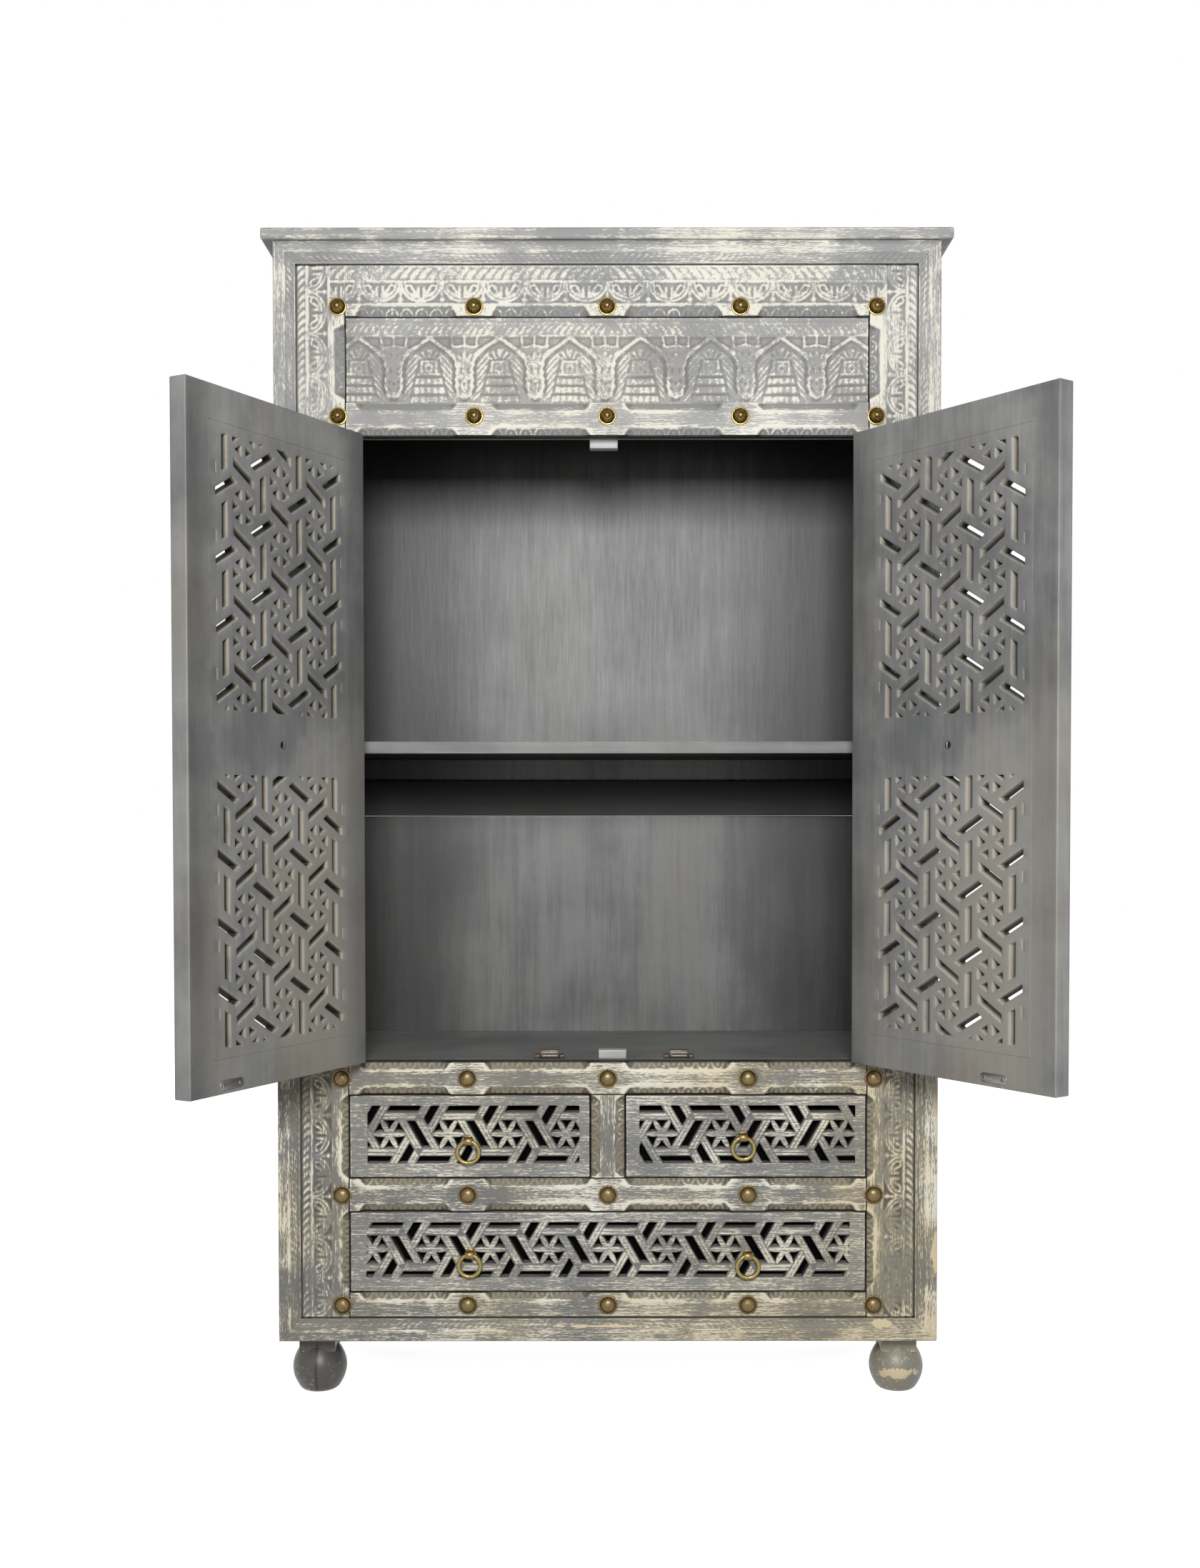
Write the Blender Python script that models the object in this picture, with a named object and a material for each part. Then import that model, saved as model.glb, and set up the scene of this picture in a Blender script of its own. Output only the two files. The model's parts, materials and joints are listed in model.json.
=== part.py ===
"""Carved two-door chest: an open cupboard above three drawers, all with pierced lattice fronts.

Metres, +Z up. The origin is on the floor under the middle of the case, and the front faces -Y.
Depths are counted from the front face of the case, which the empty case_front stands in.
"""

import math

import bmesh
import bpy

# Case
CASE_WIDTH = 1.030
CASE_DEPTH = 0.392
STILE_WIDTH = 0.110
DIVIDER_WIDTH = 0.055
FACE_THICKNESS = 0.028
SIDE_THICKNESS = 0.022
BOARD_THICKNESS = 0.018
BACK_THICKNESS = 0.012
BACK_INSET = 0.008
HOUSING_DEPTH = 0.006
JOINT_GAP = 0.0003

# Heights of the face, from the floor up
FOOT_HEIGHT = 0.095
BOTTOM_RAIL_HEIGHT = 0.075
LARGE_DRAWER_HEIGHT = 0.126
MIDDLE_RAIL_HEIGHT = 0.054
SMALL_DRAWER_HEIGHT = 0.130
TOP_RAIL_HEIGHT = 0.053
DOOR_OPENING_HEIGHT = 0.973
FRIEZE_HEIGHT = 0.297
SLAB_THICKNESS = 0.018

# Cornice slab
SLAB_OVERHANG = 0.018
SLAB_ROUNDING = 0.006

# Frieze bands and the chamfers that stop at the stud pads
FRIEZE_LOWER_BAND = 0.051
FRIEZE_PANEL_HEIGHT = 0.132
FRIEZE_PANEL_DEPTH = 0.008
FRIEZE_STUD_RISE = 0.016
CHAMFER_WIDTH = 0.014
CHAMFER_DEPTH = 0.006
ARRIS = 0.0006
PAD_LENGTH = 0.050
PAD_TAPER = 0.012
FRIEZE_STUD_PITCH = 0.206
RAIL_STUD_PITCH = 0.220
STILE_STUD_INSET = 0.012

# Frame moulding around the front
MOULDING_WIDTH = 0.033
MOULDING_FLAT = 0.013
MOULDING_THICKNESS = 0.012
MOULDING_INNER_EDGE = 0.003

# Shelf and back rail
SHELF_THICKNESS = 0.019
SHELF_LEVEL = 0.502
SHELF_SETBACK = 0.040
BACK_RAIL_HEIGHT = 0.063
BACK_RAIL_LEVEL = 0.384
BACK_RAIL_PROUD = 0.006

# Doors
LEFT_DOOR_OPEN = math.radians(117.6)
RIGHT_DOOR_OPEN = math.radians(125.1)
DOOR_THICKNESS = 0.028
DOOR_GAP = 0.0015
DOOR_MEETING_GAP = 0.004
DOOR_STILE_WIDTH = 0.045
DOOR_RAIL_HEIGHT = 0.049
DOOR_MID_BAND = 0.089
DOOR_PANEL_RECESS = 0.004
DOOR_LATTICE_MARGIN = 0.014

# Pierced lattice
DOOR_LATTICE_PITCH = 0.094
DRAWER_LATTICE_PITCH = 0.0925
SLOT_WIDTH = 0.011
LATTICE_BAR = 0.0125
SLOT_END_BAR = 0.0135
PETAL_WIDTH = 0.012
SMALLEST_HOLE_AREA = 2.5e-5

# Butt hinges
HINGE_LENGTH = 0.070
HINGE_INSET = 0.065
HINGE_LEAF_THICKNESS = 0.0012
HINGE_LEAF_WIDTH = 0.022
HINGE_SEAT_GAP = 0.00025
HINGE_KNUCKLE_RADIUS = 0.0046
HINGE_PIN_RADIUS = 0.0025
HINGE_PIN_CLEARANCE = 0.0005
HINGE_FACE_CLEARANCE = 0.0006

# Drawers
DRAWER_GAP = 0.0015
DRAWER_FRONT_THICKNESS = 0.020
LEFT_DRAWER_MARGINS = (0.0265, 0.0155)
RIGHT_DRAWER_MARGINS = (0.0205, 0.0155)
LARGE_DRAWER_MARGINS = (0.024, 0.024)
DRAWER_MARGIN_TOP = 0.015
DRAWER_MARGIN_BOTTOM = 0.021
LEFT_DRAWER_ROSETTE = 0.0584
RIGHT_DRAWER_ROSETTE = -0.0387
LARGE_DRAWER_ROSETTE = 0.0
TRAY_BACK_GAP = 0.0367
TRAY_WALL = 0.012
TRAY_BOTTOM = 0.009
TRAY_HEADROOM = 0.025
GUIDE_WIDTH = 0.018
GUIDE_HEIGHT = 0.012

# Ring pulls
RING_RADIUS = 0.0165
RING_WIRE_RADIUS = 0.0025
RING_STANDOFF = 0.0105
MOUNT_WIDTH = 0.011
MOUNT_WALL = 0.0016
MOUNT_BORE_CLEARANCE = 0.0004
MOUNT_BASE_HEIGHT = 0.016
MOUNT_BASE_THICKNESS = 0.0025
LEFT_RING = (-0.002, 0.0085)
RIGHT_RING = (-0.0045, 0.003)
LARGE_LEFT_RING = (-0.2165, 0.0052)
LARGE_RIGHT_RING = (0.219, 0.0073)

# Feet
FOOT_INSET_SIDE = 0.052
FOOT_INSET_FRONT = 0.060
FOOT_RADIUS = 0.043
FOOT_NECK_RADIUS = 0.029
FOOT_SOLE_RADIUS = 0.027
FOOT_NECK_LENGTH = 0.021
FOOT_SEGMENTS = 16

# Door stops and catches
STOP_WIDTH = 0.044
STOP_DEPTH = 0.020
STOP_TOP_HEIGHT = 0.050
STOP_DROP = 0.013
STOP_TOP_X = -0.0055
STOP_FLOOR_HEIGHT = 0.014
STOP_FLOOR_X = 0.0075
CATCH_WIDTH = 0.048
CATCH_HEIGHT = 0.013
CATCH_DEPTH = 0.014
CATCH_SETBACK = 0.0015
CATCH_LEFT_X = -0.092
CATCH_RIGHT_X = 0.113

# Places that follow from the sizes above
HALF_WIDTH = CASE_WIDTH / 2
OPENING_HALF = HALF_WIDTH - STILE_WIDTH
INNER_HALF = HALF_WIDTH - SIDE_THICKNESS
HOUSED_HALF = INNER_HALF + HOUSING_DEPTH - JOINT_GAP
BACK_FACE = CASE_DEPTH - BACK_INSET - BACK_THICKNESS
TRAY_FRONT = DRAWER_FRONT_THICKNESS + JOINT_GAP
TRAY_BACK = BACK_FACE - TRAY_BACK_GAP
Z_LARGE_DRAWER = FOOT_HEIGHT + BOTTOM_RAIL_HEIGHT
Z_MIDDLE_RAIL = Z_LARGE_DRAWER + LARGE_DRAWER_HEIGHT
Z_SMALL_DRAWER = Z_MIDDLE_RAIL + MIDDLE_RAIL_HEIGHT
Z_TOP_RAIL = Z_SMALL_DRAWER + SMALL_DRAWER_HEIGHT
Z_FLOOR = Z_TOP_RAIL + TOP_RAIL_HEIGHT
Z_FRIEZE = Z_FLOOR + DOOR_OPENING_HEIGHT
Z_CASE_TOP = Z_FRIEZE + FRIEZE_HEIGHT
Z_SHELF_TOP = Z_FLOOR + SHELF_LEVEL
Z_BACK_RAIL = Z_FLOOR + BACK_RAIL_LEVEL
Z_FRIEZE_PANEL = Z_FRIEZE + FRIEZE_LOWER_BAND
Z_FRIEZE_PANEL_TOP = Z_FRIEZE_PANEL + FRIEZE_PANEL_HEIGHT
STILE_STUD_X = OPENING_HALF + STILE_STUD_INSET
STUD_ROWS = (
    FOOT_HEIGHT + BOTTOM_RAIL_HEIGHT - 0.5 * (BOTTOM_RAIL_HEIGHT - MOULDING_WIDTH),
    Z_MIDDLE_RAIL + MIDDLE_RAIL_HEIGHT / 2,
    Z_TOP_RAIL + TOP_RAIL_HEIGHT / 2,
    Z_FRIEZE + 0.6 * FRIEZE_LOWER_BAND,
    Z_FRIEZE_PANEL_TOP + FRIEZE_STUD_RISE,
)
HINGE_GAP = 2 * (HINGE_SEAT_GAP + HINGE_LEAF_THICKNESS) + JOINT_GAP
HINGE_AXIS_X = OPENING_HALF - HINGE_GAP / 2
HINGE_AXIS_PROUD = HINGE_KNUCKLE_RADIUS + HINGE_FACE_CLEARANCE
DOOR_EDGE = HINGE_GAP / 2
DOOR_WIDTH = OPENING_HALF - HINGE_GAP - DOOR_MEETING_GAP / 2
DOOR_HEIGHT = DOOR_OPENING_HEIGHT - 2 * DOOR_GAP
DOOR_CENTRE_Z = Z_FLOOR + DOOR_OPENING_HEIGHT / 2

ROUND_SEGMENTS = 12
RING_SEGMENTS = 16
RING_SIDES = 6
SIXTY = math.radians(60)


def paint(name, colour, roughness, metallic):
    """A plain Principled BSDF material."""
    material = bpy.data.materials.new(name)
    material.use_nodes = True
    shader = material.node_tree.nodes["Principled BSDF"]
    shader.inputs["Base Color"].default_value = (*colour, 1.0)
    shader.inputs["Roughness"].default_value = roughness
    shader.inputs["Metallic"].default_value = metallic
    material.diffuse_color = (*colour, 1.0)
    return material


def empty(name, parent, location, turn=0.0):
    """A guide that pieces hang on: the case's front, a hinge axis or a drawer's slide."""
    guide = bpy.data.objects.new(name, None)
    guide.empty_display_size = 0.05
    guide.parent = parent
    guide.location = location
    guide.rotation_euler = (0.0, 0.0, turn)
    bpy.context.scene.collection.objects.link(guide)
    return guide


def piece(name, data, material, parent, location=(0.0, 0.0, 0.0), rotation=(0.0, 0.0, 0.0)):
    """Puts a mesh or a curve into the scene as one named piece."""
    made = bpy.data.objects.new(name, data)
    if not data.materials:
        data.materials.append(material)
    made.parent = parent
    made.location = location
    made.rotation_euler = rotation
    bpy.context.scene.collection.objects.link(made)
    return made


def mesh_of(points, faces, smooth=False):
    """A closed mesh with its faces pointing out."""
    mesh = bpy.data.meshes.new("shape")
    mesh.from_pydata(points, [], faces)
    work = bmesh.new()
    work.from_mesh(mesh)
    bmesh.ops.recalc_face_normals(work, faces=work.faces)
    work.to_mesh(mesh)
    work.free()
    if smooth:
        mesh.shade_smooth()
        mesh.set_sharp_from_angle(angle=math.radians(35))
    return mesh


def loft(sections, smooth=False):
    """A solid through sections of equal point counts, capped at both ends."""
    count = len(sections[0])
    points = [point for section in sections for point in section]
    last = (len(sections) - 1) * count
    faces = [tuple(range(count)), tuple(range(last, last + count))]
    for level in range(len(sections) - 1):
        low = level * count
        for i in range(count):
            j = (i + 1) % count
            faces.append((low + i, low + j, low + count + j, low + count + i))
    return mesh_of(points, faces, smooth)


def box(x, y, z):
    """A box between pairs of limits."""
    section = [(x[0], y[0]), (x[1], y[0]), (x[1], y[1]), (x[0], y[1])]
    return loft([[(px, py, level) for px, py in section] for level in z])


def board(name, x, y, z, material, parent):
    """A plain board whose origin is its own centre."""
    centre = [(low + high) / 2 for low, high in (x, y, z)]
    limits = [(low - c, high - c) for (low, high), c in zip((x, y, z), centre)]
    return piece(name, box(*limits), material, parent, centre)


def circle(radius, segments):
    """Points of a circle about the origin, on flats."""
    turns = [2 * math.pi * (i + 0.5) / segments for i in range(segments)]
    return [(radius * math.cos(turn), radius * math.sin(turn)) for turn in turns]


def upright_cylinder(radius, z, segments=ROUND_SEGMENTS):
    """A cylinder about the Z axis."""
    return loft([[(x, y, level) for x, y in circle(radius, segments)] for level in z])


def fused(parts, cuts=()):
    """One solid from overlapping solids, less the cutters."""
    helpers = []
    for mesh in (*parts, *cuts):
        helper = bpy.data.objects.new("helper", mesh)
        bpy.context.scene.collection.objects.link(helper)
        helpers.append(helper)
    base = helpers[0]
    for number, helper in enumerate(helpers[1:], start=1):
        join = base.modifiers.new("join", "BOOLEAN")
        join.operation = "UNION" if number < len(parts) else "DIFFERENCE"
        join.object = helper
    graph = bpy.context.evaluated_depsgraph_get()
    mesh = bpy.data.meshes.new_from_object(base.evaluated_get(graph))
    for helper in helpers:
        bpy.data.objects.remove(helper, do_unlink=True)
    mesh.shade_smooth()
    mesh.set_sharp_from_angle(angle=math.radians(35))
    return mesh


def plate(name, loops, thickness, material, parent, location):
    """An upright plate from closed outlines in the XZ plane: the first is its edge, the rest are holes."""
    curve = bpy.data.curves.new(name, "CURVE")
    curve.dimensions = "2D"
    curve.fill_mode = "BOTH"
    curve.extrude = thickness / 2
    for loop in loops:
        spline = curve.splines.new("POLY")
        spline.points.add(len(loop) - 1)
        for point, (x, z) in zip(spline.points, loop):
            point.co = (x, z, 0.0, 1.0)
        spline.use_cyclic_u = True
    return piece(name, curve, material, parent, location, (math.radians(90), 0.0, 0.0))


def rectangle(x, z):
    """Corners of a rectangle between pairs of limits."""
    return [(x[0], z[0]), (x[1], z[0]), (x[1], z[1]), (x[0], z[1])]


def clipped(loop, half_width, half_height):
    """The part of a convex outline inside a window about the origin."""
    for axis, limit in ((0, half_width), (1, half_height)):
        for side in (1, -1):
            kept = []
            for here, there in zip(loop, loop[1:] + loop[:1]):
                inside = limit - side * here[axis]
                next_inside = limit - side * there[axis]
                if inside >= 0:
                    kept.append(here)
                if inside * next_inside < 0:
                    share = inside / (inside - next_inside)
                    kept.append(tuple(a + share * (b - a) for a, b in zip(here, there)))
            loop = kept
            if len(loop) < 3:
                return []
    return loop


def area(loop):
    """Area of a closed outline."""
    pairs = zip(loop, loop[1:] + loop[:1])
    return abs(sum(a[0] * b[1] - b[0] * a[1] for a, b in pairs)) / 2


def ray(length, angle):
    """A step in the XZ plane."""
    return length * math.cos(angle), length * math.sin(angle)


def lattice(width, height, turn, hand, origin, pitch):
    """Holes of the pierced pattern in a window about (0, 0).

    Six-petal rosettes stand on a triangular grid whose first row runs at the angle turn. Each pair of
    neighbours has one slanted slot half way between them, which leans to the side that hand gives.
    """
    row_spacing = pitch * math.sin(SIXTY)
    apothem = row_spacing / 2 - SLOT_WIDTH / 2 - LATTICE_BAR
    half_base = apothem * math.tan(SIXTY / 2) - PETAL_WIDTH / 2 / math.cos(SIXTY / 2)
    slot_half_length = (row_spacing / 2 - SLOT_WIDTH / 2 - SLOT_END_BAR) / math.sin(SIXTY)
    slot_half_width = SLOT_WIDTH / 2 / math.sin(SIXTY)
    reach = math.ceil((width + height) / pitch)
    first = ray(pitch, turn)
    second = ray(pitch, turn + SIXTY)
    found = []
    for i in range(-reach, reach + 1):
        for j in range(-reach, reach + 1):
            cx = origin[0] + i * first[0] + j * second[0]
            cz = origin[1] + i * first[1] + j * second[1]
            for k in range(6):
                out = turn + SIXTY * (k + 0.5)
                apex = ray(PETAL_WIDTH, out)
                middle = ray(apothem, out)
                aside = ray(half_base, out + math.pi / 2)
                found.append(
                    [
                        (cx + apex[0], cz + apex[1]),
                        (cx + middle[0] - aside[0], cz + middle[1] - aside[1]),
                        (cx + middle[0] + aside[0], cz + middle[1] + aside[1]),
                    ]
                )
            for k in range(3):
                towards = turn + SIXTY * k
                half_way = ray(pitch / 2, towards)
                along = ray(slot_half_length, towards + hand * SIXTY)
                across = ray(slot_half_width, towards)
                corners = ((1, 1), (1, -1), (-1, -1), (-1, 1))
                found.append(
                    [
                        (
                            cx + half_way[0] + a * along[0] + b * across[0],
                            cz + half_way[1] + a * along[1] + b * across[1],
                        )
                        for a, b in corners
                    ]
                )
    inside = [clipped(loop, width / 2, height / 2) for loop in found]
    return [loop for loop in inside if len(loop) > 2 and area(loop) > SMALLEST_HOLE_AREA]


def moved(loops, x, z):
    """Outlines shifted in the XZ plane."""
    return [[(px + x, pz + z) for px, pz in loop] for loop in loops]


def chamfer_stops(low, high, pads):
    """Places along an edge, each with its share of the full chamfer, which fades out at the stud pads."""
    places = {low, high}
    for pad in pads:
        for step in (PAD_LENGTH / 2, PAD_LENGTH / 2 + PAD_TAPER):
            places.update(p for p in (pad - step, pad + step) if low + ARRIS < p < high - ARRIS)

    def share(place):
        away = min(abs(place - pad) for pad in pads)
        return min(max((away - PAD_LENGTH / 2) / PAD_TAPER, 0.0), 1.0)

    return [(place, share(place)) for place in sorted(places)]


def chamfer(share):
    """Width and depth of a chamfer that is partly faded out."""
    return ARRIS + share * (CHAMFER_WIDTH - ARRIS), ARRIS + share * (CHAMFER_DEPTH - ARRIS)


def face_rail(name, low, high, pitch, lower_edge, material, parent):
    """A rail between the stiles with stopped chamfers along its edges."""
    end = OPENING_HALF - JOINT_GAP
    pads = (0.0, pitch, -pitch, STILE_STUD_X, -STILE_STUD_X)
    sections = []
    for x, share in chamfer_stops(-end, end, pads):
        width, depth = chamfer(share)
        low_width, low_depth = chamfer(share if lower_edge else 0.0)
        outline = [
            (FACE_THICKNESS, low),
            (FACE_THICKNESS, high),
            (depth, high),
            (0.0, high - width),
            (0.0, low + low_width),
            (low_depth, low),
        ]
        sections.append([(x, y, z) for y, z in outline])
    return piece(name, loft(sections), material, parent)


def frieze(material, parent):
    """The board over the doors: a plain band, a sunk panel and a plain band again."""
    end = OPENING_HALF - JOINT_GAP
    pads = (0.0, FRIEZE_STUD_PITCH, -FRIEZE_STUD_PITCH, STILE_STUD_X, -STILE_STUD_X)
    sections = []
    for x, share in chamfer_stops(-end, end, pads):
        width, depth = chamfer(share)
        outline = [
            (FACE_THICKNESS, Z_FRIEZE),
            (FACE_THICKNESS, Z_CASE_TOP),
            (0.0, Z_CASE_TOP),
            (0.0, Z_FRIEZE_PANEL_TOP + width),
            (depth, Z_FRIEZE_PANEL_TOP),
            (FRIEZE_PANEL_DEPTH, Z_FRIEZE_PANEL_TOP),
            (FRIEZE_PANEL_DEPTH, Z_FRIEZE_PANEL),
            (depth, Z_FRIEZE_PANEL),
            (0.0, Z_FRIEZE_PANEL - width),
            (0.0, Z_FRIEZE + width),
            (depth, Z_FRIEZE),
        ]
        sections.append([(x, y, z) for y, z in outline])
    return piece("frieze_board", loft(sections), material, parent)


def face_stile(name, side, material, parent):
    """A stile with a stopped chamfer along its inner edge."""
    sections = []
    for z, share in chamfer_stops(FOOT_HEIGHT, Z_CASE_TOP, STUD_ROWS):
        width, depth = chamfer(share)
        outline = [
            (HALF_WIDTH, FACE_THICKNESS),
            (HALF_WIDTH, 0.0),
            (OPENING_HALF + width, 0.0),
            (OPENING_HALF, depth),
            (OPENING_HALF, FACE_THICKNESS),
        ]
        sections.append([(side * x, y, z) for x, y in outline])
    return piece(name, loft(sections), material, parent)


def divider(material, parent):
    """The short post between the small drawers, with stopped chamfers along both edges."""
    half = DIVIDER_WIDTH / 2
    sections = []
    for z, share in chamfer_stops(Z_SMALL_DRAWER + JOINT_GAP, Z_TOP_RAIL - JOINT_GAP, STUD_ROWS):
        width, depth = chamfer(share)
        outline = [
            (half, FACE_THICKNESS),
            (half, depth),
            (half - width, 0.0),
            (width - half, 0.0),
            (-half, depth),
            (-half, FACE_THICKNESS),
        ]
        sections.append([(x, y, z) for x, y in outline])
    return piece("drawer_divider", loft(sections), material, parent)


def frame_moulding(material, parent):
    """Four mitred lengths planted on the face."""
    outline = [
        (0.0, 0.0),
        (MOULDING_WIDTH, 0.0),
        (MOULDING_WIDTH, MOULDING_INNER_EDGE),
        (MOULDING_FLAT, MOULDING_THICKNESS),
        (0.0, MOULDING_THICKNESS),
    ]
    for name, side in (("left", -1), ("right", 1)):
        sections = [
            [(side * (HALF_WIDTH - w), -JOINT_GAP - h, FOOT_HEIGHT + w + JOINT_GAP) for w, h in outline],
            [(side * (HALF_WIDTH - w), -JOINT_GAP - h, Z_CASE_TOP - w - JOINT_GAP) for w, h in outline],
        ]
        piece(f"frame_moulding_{name}", loft(sections), material, parent)
    for name, edge, inward in (("bottom", FOOT_HEIGHT, 1), ("top", Z_CASE_TOP, -1)):
        sections = [
            [(end * (HALF_WIDTH - w - JOINT_GAP), -JOINT_GAP - h, edge + inward * w) for w, h in outline]
            for end in (-1, 1)
        ]
        piece(f"frame_moulding_{name}", loft(sections), material, parent)


def cornice(material, parent):
    """The top slab, rounded at the front and the sides."""
    low = Z_CASE_TOP + JOINT_GAP
    high = Z_CASE_TOP + SLAB_THICKNESS
    middle = (low + high) / 2
    sections = []
    for z, inset in (
        (low, SLAB_ROUNDING),
        (low + SLAB_ROUNDING * 0.4, SLAB_ROUNDING * 0.3),
        (middle, 0.0),
        (high - SLAB_ROUNDING * 0.4, SLAB_ROUNDING * 0.3),
        (high, SLAB_ROUNDING),
    ):
        x = HALF_WIDTH + SLAB_OVERHANG - inset
        front = -SLAB_OVERHANG + inset
        sections.append([(-x, front, z), (x, front, z), (x, CASE_DEPTH, z), (-x, CASE_DEPTH, z)])
    return piece("cornice_slab", loft(sections, smooth=True), material, parent)


def side_panel(name, side, boards, material, parent):
    """A side with a housing for each board, given by the board's lower and upper faces."""
    outline = [(HALF_WIDTH, Z_CASE_TOP), (HALF_WIDTH, FOOT_HEIGHT), (INNER_HALF, FOOT_HEIGHT)]
    for low, high in sorted(boards):
        outline += [
            (INNER_HALF, low - JOINT_GAP),
            (INNER_HALF + HOUSING_DEPTH, low - JOINT_GAP),
            (INNER_HALF + HOUSING_DEPTH, high + JOINT_GAP),
            (INNER_HALF, high + JOINT_GAP),
        ]
    outline.append((INNER_HALF, Z_CASE_TOP))
    ends = (FACE_THICKNESS + JOINT_GAP, CASE_DEPTH)
    return piece(name, loft([[(side * x, y, z) for x, z in outline] for y in ends]), material, parent)


def runner_board(name, top, gaps, material, parent):
    """A housed board with low guide strips standing beside each drawer's way in, between the gaps."""
    low = top - BOARD_THICKNESS
    outline = [(-HOUSED_HALF, low), (HOUSED_HALF, low), (HOUSED_HALF, top)]
    for right, left in gaps:
        outline += [(right, top), (right, top + GUIDE_HEIGHT), (left, top + GUIDE_HEIGHT), (left, top)]
    outline.append((-HOUSED_HALF, top))
    ends = (FACE_THICKNESS + JOINT_GAP, BACK_FACE - JOINT_GAP)
    return piece(name, loft([[(x, y, z) for x, z in outline] for y in ends]), material, parent)


def foot(name, x, y, material, parent):
    """A turned bun foot whose spigot runs up to the base panel."""
    bun = FOOT_HEIGHT - FOOT_NECK_LENGTH
    spigot_top = Z_LARGE_DRAWER - BOARD_THICKNESS - JOINT_GAP
    waist = bun / 2
    steps = 7
    start = math.asin(FOOT_SOLE_RADIUS / FOOT_RADIUS)
    finish = math.pi - math.asin(FOOT_NECK_RADIUS / FOOT_RADIUS)
    rise = math.cos(start) - math.cos(finish)
    profile = []
    for i in range(steps + 1):
        turn = start + (finish - start) * i / steps
        profile.append((FOOT_RADIUS * math.sin(turn), (math.cos(start) - math.cos(turn)) / rise * 2 * waist))
    profile.append((FOOT_NECK_RADIUS, spigot_top))
    sections = [[(px, py, z) for px, py in circle(r, FOOT_SEGMENTS)] for r, z in profile]
    return piece(name, loft(sections, smooth=True), material, parent, (x, y, 0.0))


def hinge_leaf(side, on_door):
    """One leaf of a butt hinge, with its knuckles about the Z axis. Its middle knuckle is the door's."""
    third = HINGE_LENGTH / 3
    lean = 1 if on_door else -1
    near = lean * JOINT_GAP / 2
    far = lean * (JOINT_GAP / 2 + HINGE_LEAF_THICKNESS)
    leaf_x = tuple(sorted((side * near, side * far)))
    leaf_start = HINGE_KNUCKLE_RADIUS + HINGE_FACE_CLEARANCE / 2
    leaf_end = leaf_start + HINGE_LEAF_WIDTH
    parts = [box(leaf_x, (leaf_start, leaf_end), (0.0, HINGE_LENGTH))]
    spans = [(third + JOINT_GAP, 2 * third - JOINT_GAP)] if on_door else [(0.0, third), (2 * third, HINGE_LENGTH)]
    for low, high in spans:
        parts.append(box(leaf_x, (HINGE_PIN_RADIUS * 1.4, leaf_start * 1.2), (low, high)))
        parts.append(upright_cylinder(HINGE_KNUCKLE_RADIUS, (low, high)))
    if on_door:
        bore = upright_cylinder(HINGE_PIN_RADIUS + HINGE_PIN_CLEARANCE, (0.0, HINGE_LENGTH))
        return fused(parts, [bore])
    parts.append(upright_cylinder(HINGE_PIN_RADIUS, (third / 2, HINGE_LENGTH - third / 2)))
    return fused(parts)


def ring_mount():
    """A strap with a base on the face and an eye for the ring, in profile along X, standing out to -Y."""
    sag = RING_RADIUS - math.sqrt(RING_RADIUS**2 - (MOUNT_WIDTH / 2) ** 2)
    bore = (RING_WIRE_RADIUS + sag + MOUNT_BORE_CLEARANCE) / math.cos(math.pi / ROUND_SEGMENTS)
    eye = bore + MOUNT_WALL
    half = MOUNT_WIDTH / 2
    back = -JOINT_GAP
    base = box((-half, half), (back - MOUNT_BASE_THICKNESS, back), (-MOUNT_BASE_HEIGHT / 2, MOUNT_BASE_HEIGHT / 2))
    neck = box((-half * 0.9, half * 0.9), (-RING_STANDOFF, back - MOUNT_BASE_THICKNESS / 2), (-bore, bore))

    def along_x(radius, reach):
        points = circle(radius, ROUND_SEGMENTS)
        return loft([[(x, y - RING_STANDOFF, z) for y, z in points] for x in (-reach, reach)])

    return fused([base, neck, along_x(eye, half)], [along_x(bore, half * 3)])


def ring():
    """A ring that hangs from the X axis."""
    points = []
    faces = []
    for i in range(RING_SEGMENTS):
        turn = 2 * math.pi * i / RING_SEGMENTS
        for j in range(RING_SIDES):
            around = 2 * math.pi * j / RING_SIDES
            reach = RING_RADIUS + RING_WIRE_RADIUS * math.cos(around)
            x = reach * math.sin(turn)
            z = reach * math.cos(turn) - RING_RADIUS
            points.append((x, RING_WIRE_RADIUS * math.sin(around), z))
            near = i * RING_SIDES
            far = (i + 1) % RING_SEGMENTS * RING_SIDES
            k = (j + 1) % RING_SIDES
            faces.append((near + j, near + k, far + k, far + j))
    return mesh_of(points, faces, smooth=True)


def ring_pull(name, mount_mesh, ring_mesh, material, parent, place):
    """A mount and its ring on a face at the given place."""
    x, face, z = place
    piece(f"{name}_mount", mount_mesh, material, parent, (x, face, z))
    piece(f"{name}_ring", ring_mesh, material, parent, (x, face - RING_STANDOFF, z))


def tray(name, x, low, high, material, parent):
    """An open drawer box behind its front."""

    def level(z, inset):
        x0, x1 = x[0] + inset, x[1] - inset
        y0, y1 = TRAY_FRONT + inset, TRAY_BACK - inset
        return [(x0, y0, z), (x1, y0, z), (x1, y1, z), (x0, y1, z)]

    sections = [level(low, 0.0), level(high, 0.0), level(high, TRAY_WALL), level(low + TRAY_BOTTOM, TRAY_WALL)]
    return piece(name, loft(sections), material, parent)


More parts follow.
